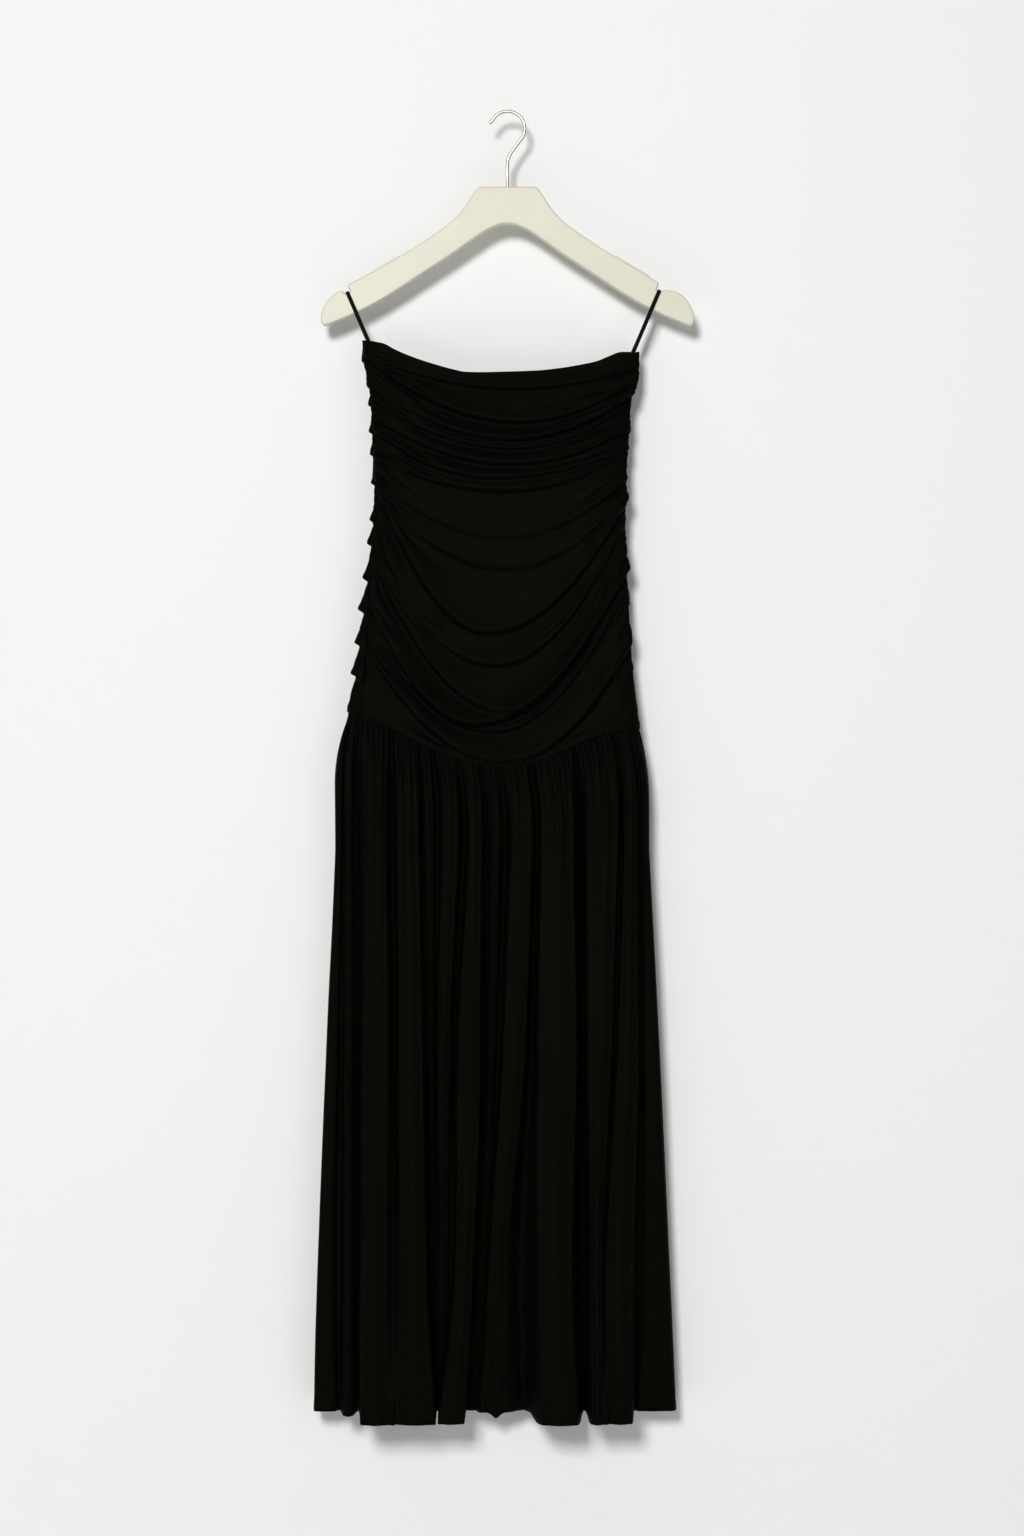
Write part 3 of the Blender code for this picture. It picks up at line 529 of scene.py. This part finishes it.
def shell(name, outer, level, wall, material):
    # a closed thin sheet: a fine outer face, an inner face with every second row and column, four rims
    down = np.gradient(outer, axis=0)
    across = np.gradient(outer, axis=1)
    normal = np.cross(down, across)
    normal /= np.maximum(np.linalg.norm(normal, axis=-1, keepdims=True), 1e-9)
    normal[0], normal[-1] = level[0], level[-1]
    normal[:, 0], normal[:, -1] = level[:, 0], level[:, -1]
    inner = (outer - normal * wall)[::2, ::2]
    outer = outer.copy()
    for grid in (outer, inner):
        for end, beside in ((0, 1), (-1, -2)):
            step = grid[:, beside] - grid[:, end]
            length = np.maximum(np.linalg.norm(step, axis=-1, keepdims=True), 1e-9)
            grid[:, end] += step / length * np.minimum(seamGap / 2, length / 3)
    fine = np.arange(outer[..., 0].size).reshape(outer.shape[:2])
    coarse = np.arange(inner[..., 0].size).reshape(inner.shape[:2]) + fine.size
    a, b, c, d = fine[:-1, :-1], fine[1:, :-1], fine[1:, 1:], fine[:-1, 1:]
    faces = np.stack([a, b, c, d], -1).reshape(-1, 4).tolist()
    a, b, c, d = coarse[:-1, :-1], coarse[1:, :-1], coarse[1:, 1:], coarse[:-1, 1:]
    faces += np.stack([a, d, c, b], -1).reshape(-1, 4).tolist()
    for rim, within, flip in (
        (fine[:, 0], coarse[:, 0], True),
        (fine[:, -1], coarse[:, -1], False),
        (fine[0], coarse[0], False),
        (fine[-1], coarse[-1], True),
    ):
        for k in range(len(within) - 1):
            face = [int(v) for v in (*rim[2 * k : 2 * k + 3], within[k + 1], within[k])]
            faces.append(face[::-1] if flip else face)
    points = np.concatenate([outer.reshape(-1, 3), inner.reshape(-1, 3)]) * mm
    return newPiece(name, points.tolist(), faces, material)


# skirt: a ring of fold crests and grooves, gathered into the waist seam
hemHeight = -1498
foldHeights = (-852, -1083, -1340, hemHeight)
skirt = {
    "wall": 1.0,
    "rows": 158,
    "grain": {"front": 0.86, "back": 1.3},
    "fewest": {"front": 5, "back": 4},
    "waistGap": 0.5,
    "gatherReach": 85,
    "gatherPitch": 6.5,
    "grooveAtSeam": 4.5,
    "grooveWithin": 14,
    "hemDip": 6,
    "leftEdge": (-199, -210, -220, -223),
    "rightEdge": (164, 176, 188, 195),
    "leftSeam": ((-176, -174, -174, -172), (9, 9, 9, 10)),
    # crests of the front folds from left to right: left edge, right edge, how far out,
    # floor of the next groove
    "front": (
        ((-159, -163, -165, -166), (-140, -137, -139, -134), (28, 42, 52, 58), (13, 22, 40, 57)),
        ((-125, -123, -122, -127), (-102, -97, -92, -83), (29, 43, 52, 56), (8, 7, 7, 8)),
        ((-94, -90, -86, -82), (-86, -86, -83, -81.5), (25, 16, 9, 9), (9, 8, 6, 8)),
        ((-74, -80, -79, -80.5), (-58, -67, -70, -80), (26, 20, 10, 9), (8, 8, 6, 7)),
        ((-43, -56, -60, -78), (-31, -31, -40, -50), (27, 40, 48, 52), (9, 7, 6, 6)),
        ((-19, -21, -34, -46), (-11, -16, -29, -42), (22, 14, 8, 7), (9, 8, 6, 6)),
        ((5, -5, -21, -31), (28, 20, -2, -4), (30, 34, 25, 19), (8, 7, 6, 6)),
        ((39, 35, 36, 41), (75, 78, 73, 80), (32, 45, 54, 59), (8, 7, 6, 7)),
        ((92, 93, 96, 97), (126, 118, 107, 109), (30, 42, 50, 55), (12, 24, 38, 52)),
        ((134, 127, 113, 116), (149, 147, 140, 141), (24, 38, 48, 52), (8, 7, 6, 6)),
        ((156, 160, 161, 152), (161, 172, 181, 188), (14, 14, 12, 12), (0, 0, 0, 0)),
    ),
    # the stretch of the back that comes round the left edge
    "wrap": (
        ((-197, -206, -216, -220), (-192, -197, -204, -199), (9, 11, 12, 13), (3, 3, 3, 4)),
        ((-186, -187, -185, -188), (-179, -178, -178, -177), (16, 20, 25, 30), (9, 9, 9, 10)),
    ),
    # folds of the back from right to left: middle at top and hem, half width, how far out
    "back": (
        (143, 164, 8, 14, 20, 26),
        (114, 126, 6, 9, 22, 31),
        (84, 88, 9, 13, 23, 32),
        (47, 51, 7, 10, 24, 33),
        (12, 10, 10, 15, 24, 33),
        (-28, -34, 6, 9, 24, 32),
        (-62, -73, 9, 14, 24, 33),
        (-98, -113, 6, 9, 23, 31),
        (-130, -150, 8, 12, 22, 31),
        (-164, -190, 8, 12, 19, 25),
    ),
    "backFloor": 12,
}


def atHeight(values):
    return curveThrough(sorted(zip(foldHeights, values)))


def crestStations(bands):
    stations = []
    for k, (left, right, crest, floor) in enumerate(bands):
        middle = [(a + b) / 2 for a, b in zip(left, right)]
        shoulder = [-0.93 * c for c in crest]
        stations.append((atHeight(left), atHeight(shoulder), False))
        stations.append((atHeight(middle), atHeight([-c for c in crest]), False))
        stations.append((atHeight(right), atHeight(shoulder), False))
        if k + 1 < len(bands):
            groove = [(a + b) / 2 for a, b in zip(right, bands[k + 1][0])]
            stations.append((atHeight(groove), atHeight([-f for f in floor]), False))
    return stations


def backStations():
    steps = [(h - foldHeights[0]) / (hemHeight - foldHeights[0]) for h in foldHeights]
    folds = skirt["back"]
    stations = []
    for k, (topX, hemX, topHalf, hemHalf, topOut, hemOut) in enumerate(folds):
        middle = [topX + (hemX - topX) * s for s in steps]
        half = [topHalf + (hemHalf - topHalf) * s for s in steps]
        crest = [topOut + (hemOut - topOut) * s for s in steps]
        for sign in (1, -1):
            side = [m + sign * h for m, h in zip(middle, half)]
            stations.append((atHeight(side), atHeight(crest), False))
        if k + 1 < len(folds):
            follow = [folds[k + 1][0] + (folds[k + 1][1] - folds[k + 1][0]) * s for s in steps]
            groove = [(a + b) / 2 for a, b in zip(middle, follow)]
            stations.append((atHeight(groove), atHeight([skirt["backFloor"]] * 4), False))
    return stations


def skirtStations(panel):
    seamX, seamY = skirt["leftSeam"]
    leftSeam = (atHeight(seamX), atHeight([-y for y in seamY]), False)
    rightEdge = (atHeight(skirt["rightEdge"]), atHeight([0] * 4), True)
    if panel == "front":
        return [leftSeam] + crestStations(skirt["front"]) + [rightEdge]
    leftEdge = (atHeight(skirt["leftEdge"]), atHeight([0] * 4), True)
    return [rightEdge] + backStations() + [leftEdge] + crestStations(skirt["wrap"]) + [leftSeam]


def between(first, second, height, t):
    x0, y0, x1, y1 = first[0](height), first[1](height), second[0](height), second[1](height)
    swing, rest = np.sin(t * math.pi / 2), 1 - np.cos(t * math.pi / 2)
    if second[2]:
        return x0 + (x1 - x0) * swing, y0 + (y1 - y0) * rest
    if first[2]:
        return x0 + (x1 - x0) * rest, y0 + (y1 - y0) * swing
    return x0 + (x1 - x0) * t, y0 + (y1 - y0) * soft(t)


def skirtPlaces(panel):
    # columns from seam to seam: closer together where a part is narrow and steep
    stations = skirtStations(panel)
    top = foldHeights[0]
    places, grooves = [], []
    for first, second in zip(stations, stations[1:]):
        width = abs(float(second[0](top)) - float(first[0](top)))
        steps = max(skirt["fewest"][panel], round(width / skirt["grain"][panel]))
        if abs(float(first[1](top))) < skirt["grooveWithin"]:
            grooves.append(len(places))
        places += [(first, second, k / steps) for k in range(steps)]
    if len(places) % 2:
        places.append((first, second, 1 - 0.5 / steps))
    places.append((first, second, 1.0))
    return places, grooves


def seamShares(panel, x, y):
    # where each column starts on the waist seam: nearly straight above its place in the folds
    skirtLeft, skirtRight = skirt["leftEdge"][0], skirt["rightEdge"][0]
    across = np.clip(2 * (x - skirtLeft) / (skirtRight - skirtLeft) - 1, -1, 1)
    angle = np.arccos(-across)
    if panel == "back":
        angle = np.where(y >= 0, 2 * math.pi - angle, 2 * math.pi + angle)
    straight = (angle - angle[0]) / (angle[-1] - angle[0])
    even = spread(panel, bodice["waistLevel"], len(x) - 1)
    shares = 0.8 * np.maximum.accumulate(straight) + 0.2 * even
    return np.clip(shares, 0, 1)


def skirtSurface(panel):
    places, grooves = skirtPlaces(panel)
    count = len(places) - 1
    level = np.full(count + 1, float(foldHeights[0]))
    start = np.array([between(*place[:2], height, place[2]) for place, height in zip(places, level)])
    shares = seamShares(panel, start[:, 0], start[:, 1])
    angle = panelAngle(panel, shares, bodice["waistLevel"])[None, :]
    waist = edgeHeight(angle, "waist")
    topX, topY = tubePoint(angle, waist)
    normalX, normalY = tubeNormal(angle, waist)
    down = np.linspace(0, 1, skirt["rows"] + 1)[:, None] ** 1.35
    topZ = waist - skirt["waistGap"]
    z = topZ + (hemHeight - topZ) * down
    x, y = np.zeros_like(z), np.zeros_like(z)
    for i, (first, second, t) in enumerate(places):
        x[:, i], y[:, i] = between(first, second, z[:, i], t)
    fallen = topZ - z
    settle = np.clip(fallen / skirt["gatherReach"], 0, 1)
    settle = settle * (2 - settle)
    z = z - skirt["hemDip"] * soft((-y - 20) / 25) * down**2
    x, y = topX + (x - topX) * settle, topY + (y - topY) * settle
    seed = 51 if panel == "front" else 71
    column = np.arange(count + 1)[None, :] + 0 * z
    fromEnd = np.minimum(column, count - column)
    run = np.hypot(np.diff(topX, prepend=topX[:, :1]), np.diff(topY, prepend=topY[:, :1]))
    length = np.cumsum(run, axis=1)
    # gathers under the waist seam, uneven in size, each dying out at its own height
    number = length / skirt["gatherPitch"] + 0.45 * wander(length, 21, seed)
    reach = 52 + 34 * wander(np.round(number), 1.0, seed + 1)
    wave = 2 * np.abs(np.sin(math.pi * number)) ** 0.7 - 1.15
    gather = 2.6 * (0.75 + 0.35 * wander(length, 9, seed + 2)) * wave
    rise = soft(fallen / 4) * 0.8 + 0.2
    lift = gather * rise * np.exp(-((fallen / reach) ** 1.5)) * soft(fromEnd / 5)
    # the deep grooves start at the seam
    for at in grooves:
        if 3 < at < count - 3:
            near = (length - length[:, at : at + 1]) / 2.6
            lift = lift - skirt["grooveAtSeam"] * np.exp(-(near**2)) * soft(fallen / 6 + 0.2) * (1 - settle)
    # softer second set of pleats that run further down
    pleat = np.sin(2 * math.pi * (length / 17 + 0.5 * wander(length, 40, seed + 3)))
    lift = lift + 1.2 * pleat * np.exp(-((fallen / 150) ** 2)) * soft(fallen / 20) * soft(fromEnd / 8)
    # the cloth's own slow unevenness
    low = soft((fallen - 90) / 200) * soft(fromEnd / 8)
    lift = lift + low * (1.1 * wander2(x, z, 30, 170, seed + 4) + 0.3 * wander2(x, z, 11, 90, seed + 5))
    # rumples where the middle of the front falls back, above the hem
    if panel == "front":
        rumple = soft((-1310 - z) / 70) * np.exp(-(((x + 5) / 34) ** 4)) * soft((y + 30) / 14)
        creases = 2.2 * wander2(x + 0.1 * z, z, 7, 40, 91) + 1.0 * wander2(x - 0.2 * z, z, 4, 18, 92)
        lift = lift + rumple * creases
        z = z - 7 * np.exp(-(((x + 13) / 6) ** 2)) * soft((y + 30) / 14) * down**8
    # the hem's turn-up and its row of stitches
    aboveHem = fallen[-1:] - fallen
    lift = lift + 0.35 * np.exp(-(((aboveHem - 4) / 5) ** 2)) - 0.4 * np.exp(-(((aboveHem - 11) / 1.4) ** 2))
    ripple = np.sin(x * 0.9 + 2 * wander(x, 14, seed + 6)) * np.exp(-(((aboveHem - 6) / 9) ** 2))
    lift = lift + 0.35 * ripple * soft(fromEnd / 5)
    across = np.gradient(np.stack([x, y], -1), axis=1)
    turn = np.maximum(np.hypot(across[..., 0], across[..., 1]), 1e-9)
    outX = normalX + (across[..., 1] / turn - normalX) * settle
    outY = normalY + (-across[..., 0] / turn - normalY) * settle
    ends = {"front": ((0, -1), (1, 0)), "back": ((1, 0), (0, -1))}[panel]
    for side, (endX, endY) in zip((0, -1), ends):
        outX[:, side] = normalX[:, side] * (1 - settle[:, side]) + endX * settle[:, side]
        outY[:, side] = normalY[:, side] * (1 - settle[:, side]) + endY * settle[:, side]
    size = np.hypot(outX, outY)
    outX, outY = outX / size, outY / size
    outer = np.stack([x + outX * lift, y + outY * lift, z], axis=-1)
    level = np.stack([outX, outY, np.zeros_like(z)], axis=-1)
    # the seam allowance, turned up inside the bodice
    tucks = []
    for up, inset in ((5.0, 2.9), (1.0, 2.7)):
        tucks.append(np.stack([topX - normalX * inset, topY - normalY * inset, waist + up], axis=-1))
    outer = np.concatenate(tucks + [outer], axis=0)
    level = np.concatenate([level[:1], level[:1], level], axis=0)
    return outer, level


def outerArea(grid):
    a, b, c = grid[:-1, :-1], grid[1:, :-1], grid[:-1, 1:]
    return float(np.linalg.norm(np.cross(b - a, c - a), axis=-1).sum()) * mm * mm


def buildCloth(node, surface, settings, finish):
    outer, level = surface(node.split("_")[1])
    piece = shell(node.replace("_", "Panel_"), outer, level, settings["wall"], finish)
    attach(piece, "root")
    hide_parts(node)
    print("cloth panel made:", node, round(outerArea(outer), 3), "square metres")


for panel in ("front", "back"):
    buildCloth("bodice_" + panel, bodiceSurface, bodice, finishes["bodice"])
    buildCloth("skirt_" + panel, skirtSurface, skirt, finishes["skirt"])


# hanger: a flat painted body with softened edges, from half an outline
hanger = {
    "thick": 13,
    "rounding": 2.4,
    "top": (
        (34, -86), (43, -99), (51, -112), (64, -126),
        (83, -140), (104, -154), (127, -168), (151, -182),
    ),
    "end": ((193, -206), (202, -211), (210, -220), (215, -231), (216, -241), (213, -246), (208, -246)),
    "under": (
        (167, -229), (129, -207), (98, -186), (68, -167),
        (40, -147), (24, -136), (10, -130), (0, -128.5),
    ),
    "plateCorner": 3.5,
    "notch": {"left": (-184.5, -209), "right": (175, -207)},
    "notchHalf": 3.5,
    "notchLips": (9, 4),
    "notchCorner": 2.5,
}
strip = {
    "ends": ((124, -166.2), (163, -189.4)),
    "halfWide": 2.5,
    "rounding": 0.25,
    "teeth": 9,
    "stepsPerTooth": 10,
    "base": 1.1,
    "toothHeight": 1.3,
}
loops = {
    "foot": {"left": (-161.5, -262), "right": (146.5, -274)},
    "backFoot": {"left": (-162.5, -260), "right": (147, -272)},
    "width": 4.6,
    "thick": 1.0,
    "sewn": 13,
    "clear": 1.6,
    "steps": 150,
}


def unit(vector):
    return vector / np.linalg.norm(vector)


def strand(side):
    return unit(np.array(loops["foot"][side]) - np.array(hanger["notch"][side]))


def notchPoints(side):
    floor, down = np.array(hanger["notch"][side], float), strand(side)
    outward = np.array([-down[1], down[0]])
    outward *= np.sign(outward[0] * floor[0])
    half = outward * hanger["notchHalf"]
    inner, outer = hanger["notchLips"]
    return [floor - half - down * inner, floor - half, floor + half, floor + half - down * outer]


def softened(points, reaches, steps=6):
    # rounds each corner of a closed outline; a reach of None goes half way to the next corner
    out = []
    for k, (point, reach) in enumerate(zip(points, reaches)):
        ends = []
        for other in (points[k - 1], points[(k + 1) % len(points)]):
            away = other - point
            length = np.linalg.norm(away)
            ends.append(point + away * (0.5 if reach is None else min(0.5, reach / length)))
        for t in np.linspace(0, 1, steps):
            out.append(ends[0] * (1 - t) ** 2 + point * 2 * t * (1 - t) + ends[1] * t * t)
    return out


def flatPiece(name, outline, halfThick, bevel, material, resolution=5):
    # a filled outline, standing upright, as a mesh with rounded edges
    curve = bpy.data.curves.new(name, "CURVE")
    curve.dimensions = "2D"
    curve.fill_mode = "BOTH"
    curve.extrude = (halfThick - bevel) * mm
    curve.bevel_depth = bevel * mm
    curve.offset = -bevel * mm
    curve.bevel_resolution = resolution
    spline = curve.splines.new("POLY")
    spline.points.add(len(outline) - 1)
    for point, (x, z) in zip(spline.points, outline):
        point.co = (x * mm, z * mm, 0, 1)
    spline.use_cyclic_u = True
    flat = bpy.data.objects.new(name + "Curve", curve)
    bpy.context.scene.collection.objects.link(flat)
    graph = bpy.context.evaluated_depsgraph_get()
    mesh = bpy.data.meshes.new_from_object(flat.evaluated_get(graph))
    bpy.data.objects.remove(flat)
    corners = np.zeros(len(mesh.vertices) * 3)
    mesh.vertices.foreach_get("co", corners)
    corners = corners.reshape(-1, 3)
    faces = [tuple(polygon.vertices) for polygon in mesh.polygons]
    bpy.data.meshes.remove(mesh)
    # join the corners that lie in one place, so that the mesh is closed
    found = np.unique(np.round(corners, 7), axis=0, return_index=True, return_inverse=True)
    first, number = found[1], found[2].ravel()
    faces = [tuple(dict.fromkeys(int(number[v]) for v in face)) for face in faces]
    upright = corners[first][:, [0, 2, 1]] * (1, -1, 1)
    piece = newPiece(name, upright.tolist(), [face for face in faces if len(face) > 2], material)
    lead = piece.modifiers.new("FlatFacesLead", "WEIGHTED_NORMAL")
    lead.weight = 100
    return piece


def hangerOutline():
    halves, softness = {}, {}
    for side, sign in (("right", 1), ("left", -1)):
        notch = notchPoints(side)
        top = [np.array((sign * x, z), float) for x, z in hanger["top"] if x < abs(notch[0][0]) - 2]
        end = [np.array((sign * x, z), float) for x, z in hanger["end"] if x > abs(notch[-1][0]) + 2]
        under = [np.array((sign * x, z), float) for x, z in hanger["under"]]
        halves[side] = top + notch + end + under
        softness[side] = [hanger["plateCorner"]] + [None] * (len(top) - 1)
        softness[side] += [hanger["notchCorner"]] * len(notch) + [None] * (len(end) + len(under))
    points = halves["right"] + halves["left"][-2::-1]
    return softened(points, softness["right"] + softness["left"][-2::-1])


def buildHangerBody():
    outline = hangerOutline()
    body = flatPiece("hangerPlate", outline, hanger["thick"] / 2, hanger["rounding"], finishes["paint"])
    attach(body, "root")
    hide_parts("hanger_body")


def buildStrip(side):
    # a ribbed strip of soft plastic along the top of one arm
    sign = 1 if side == "right" else -1
    start, end = (np.array(place, float) for place in strip["ends"])
    along = unit(end - start)
    up = np.array([-along[1], along[0]])
    length = np.linalg.norm(end - start)
    outline = [start + up * seamGap]
    steps = strip["teeth"] * strip["stepsPerTooth"]
    for k in range(steps + 1):
        share = k / steps
        rise = strip["base"] + strip["toothHeight"] * abs(math.sin(math.pi * share * strip["teeth"])) ** 0.7
        outline.append(start + along * length * share + up * rise)
    outline.append(end + up * seamGap)
    points = [(sign * x, z) for x, z in outline]
    name = "stripRibs_" + side
    ribs = flatPiece(name, points, strip["halfWide"], strip["rounding"], finishes["grip"], 2)
    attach(ribs, "root")
    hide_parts("grip_" + side)


def smoothPath(points, count):
    # a smooth line through the points, evenly stepped
    points = np.array(points, float)
    at = np.concatenate([[0], np.cumsum(np.linalg.norm(np.diff(points, axis=0), axis=1))])
    slopes = np.gradient(points, at, axis=0)
    place = np.linspace(0, at[-1], count)
    k = np.clip(np.searchsorted(at, place, side="right") - 1, 0, len(at) - 2)
    span = (at[k + 1] - at[k])[:, None]
    t = (place - at[k])[:, None] / span
    start = (1 + 2 * t) * (1 - t) ** 2 * points[k] + t * (1 - t) ** 2 * span * slopes[k]
    return start + t * t * (3 - 2 * t) * points[k + 1] + t * t * (t - 1) * span * slopes[k + 1]


def swept(name, path, sides, rings, material):
    # a closed tube through rings of points; each ring is given as (side offset, flat offset) pairs
    path = np.array(path, float)
    along = np.gradient(path, axis=0)
    along /= np.linalg.norm(along, axis=1, keepdims=True)
    flat = np.cross(along, sides)
    flat /= np.linalg.norm(flat, axis=1, keepdims=True)
    points, faces = [], []
    for place, side, out, ring in zip(path, sides, flat, rings):
        points += [place + side * a + out * b for a, b in ring]
    size = len(rings[0])
    for k in range(len(path) - 1):
        for i in range(size):
            a, b = k * size + i, k * size + (i + 1) % size
            faces.append((a, b, b + size, a + size))
    last = (len(path) - 1) * size
    faces += [tuple(range(size - 1, -1, -1)), tuple(range(last, last + size))]
    return newPiece(name, [tuple(point * mm) for point in points], faces, material)


hook = {
    "radius": 20,
    "wire": 1.9,
    "stem": ((0, -110), (0, -84), (0, -60), (0.4, -55), (2, -50), (6, -43.5), (11, -36.5)),
    "crownDegrees": (-42, 136, 9),
    "steps": 220,
    "sides": 24,
    "tipWay": (-0.62, 0, -0.78),
    "tipReaches": (6, 13),
}


def buildHook():
    # bent wire: a stem, a bend to the right, an open crown and a rounded tip
    centre = np.array([0, 0, hook["wire"] - hook["radius"]])
    knots = [(x, 0, z) for x, z in hook["stem"]]
    for degrees in range(*hook["crownDegrees"]):
        turn = math.radians(degrees)
        knots.append(centre + np.array([math.cos(turn), 0, math.sin(turn)]) * hook["radius"])
    knots += [knots[-1] + np.array(hook["tipWay"]) * reach for reach in hook["tipReaches"]]
    path = smoothPath(knots, hook["steps"])
    left = np.linalg.norm(path - path[-1], axis=1)
    radii = hook["wire"] * np.sqrt(1 - np.clip(1 - left / hook["wire"], 0, 1) ** 2 * 0.98)
    turns = np.linspace(0, 2 * math.pi, hook["sides"], endpoint=False)
    rings = [[(r * math.cos(turn), r * math.sin(turn)) for turn in turns] for r in radii]
    wire = swept("hookWire", path, np.array([(0, 1, 0)] * len(path), float), rings, finishes["wire"])
    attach(wire, "root")
    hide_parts("hanger_hook")


def insideDepth(out, place):
    # how far in front of or behind the middle a tape lies where it is sewn inside the bodice
    left, right = float(edgeLeft(place[1])), float(edgeRight(place[1]))
    inset = min(place[0] - left, right - place[0]) - loops["width"] / 2 - loops["clear"]
    angle = out * math.acos(1 - 2 * max(inset, 0.1) / (right - left))
    wall = abs(float(tubePoint(angle, place[1])[1]))
    return max(loops["thick"], wall - loops["clear"] - 3 * seamGap - loops["thick"] / 2)


def buildLoop(side):
    notch, down = np.array(hanger["notch"][side], float), strand(side)
    over = hanger["thick"] / 2 + seamGap + loops["thick"] / 2
    crown = notch - down * (seamGap + loops["thick"] / 2)
    legs = {}
    for out in (1, -1):
        foot = np.array((loops["foot"] if out == 1 else loops["backFoot"])[side], float)
        way = unit(foot - notch)
        within = insideDepth(out, foot)
        middle = foot + (notch - foot) * 0.45
        places = (foot + way * loops["sewn"], foot, foot - way * 8, middle, notch + way * 4, notch + way)
        depths = (within, within, (within + over) / 2, over, over, over)
        legs[out] = [(place[0], -out * depth, place[1]) for place, depth in zip(places, depths)]
    top = [(crown[0], y, crown[1]) for y in (-over + 1, 0, over - 1)]
    path = smoothPath(legs[1] + top + legs[-1][::-1], loops["steps"])
    sides = np.array([(-down[1], 0, down[0])] * len(path), float)
    half, thin = loops["width"] / 2, loops["thick"] / 2
    ring = [(-half, -thin * 0.5), (-half * 0.9, -thin), (half * 0.9, -thin), (half, -thin * 0.5)]
    ring += [(-a, -b) for a, b in ring]
    tape = swept("tapeLoop_" + side, path, sides, [ring] * len(path), finishes["tape"])
    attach(tape, "root")
    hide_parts("loop_" + side)


buildHangerBody()
buildHook()
for side in ("left", "right"):
    buildStrip(side)
    buildLoop(side)
print("hanger, hook, strips and loops made")


# room: pale wall close behind, pale floor, soft light from the upper left
room = {
    "wallBehind": 36,
    "wallTop": 1500,
    "colour": (0.862, 0.872, 0.868),
    "floorHeight": -1700,
    "reach": 3000,
    "ambient": 0.13,
    "lightColour": (1.0, 0.998, 0.985),
    # place, what it is aimed at, width and power, in metres and watts
    "lights": {
        "keyLight": ((-1.0, -5.0, 1.1), (0, 0, -0.75), 1.1, 215),
        "fillLight": ((2.4, -4.2, -0.2), (0, 0, -0.9), 2.2, 14),
    },
}


def stagePlane(name, corners, colour):
    mesh = bpy.data.meshes.new(name)
    mesh.from_pydata([Vector(corner) * mm for corner in corners], [], [(0, 1, 2, 3)])
    mesh.materials.append(roomFinish(name + "Paint", colour))
    plane = bpy.data.objects.new(name, mesh)
    bpy.context.scene.collection.objects.link(plane)


def buildRoom():
    y, top, floor, far = room["wallBehind"], room["wallTop"], room["floorHeight"], room["reach"]
    wall = ((-far, y, floor), (far, y, floor), (far, y, top), (-far, y, top))
    ground = ((-far, -far, floor), (far, -far, floor), (far, far, floor), (-far, far, floor))
    stagePlane("backdrop", wall, room["colour"])
    stagePlane("floor", ground, room["colour"])
    world = bpy.data.worlds.new("softRoom")
    bpy.context.scene.world = world
    world.use_nodes = True
    world.node_tree.nodes["Background"].inputs[0].default_value = (1.0, 1.0, 1.0, 1)
    world.node_tree.nodes["Background"].inputs[1].default_value = room["ambient"]
    for name, (place, aim, size, power) in room["lights"].items():
        data = bpy.data.lights.new(name, "AREA")
        data.energy = power
        data.size = size
        data.color = room["lightColour"]
        light = bpy.data.objects.new(name, data)
        light.location = place
        light.rotation_euler = (Vector(aim) - Vector(place)).to_track_quat("-Z", "Y").to_euler()
        bpy.context.scene.collection.objects.link(light)
    bpy.context.scene.view_settings.view_transform = "Standard"
    bpy.context.scene.view_settings.look = "None"


buildRoom()
print("room ready")
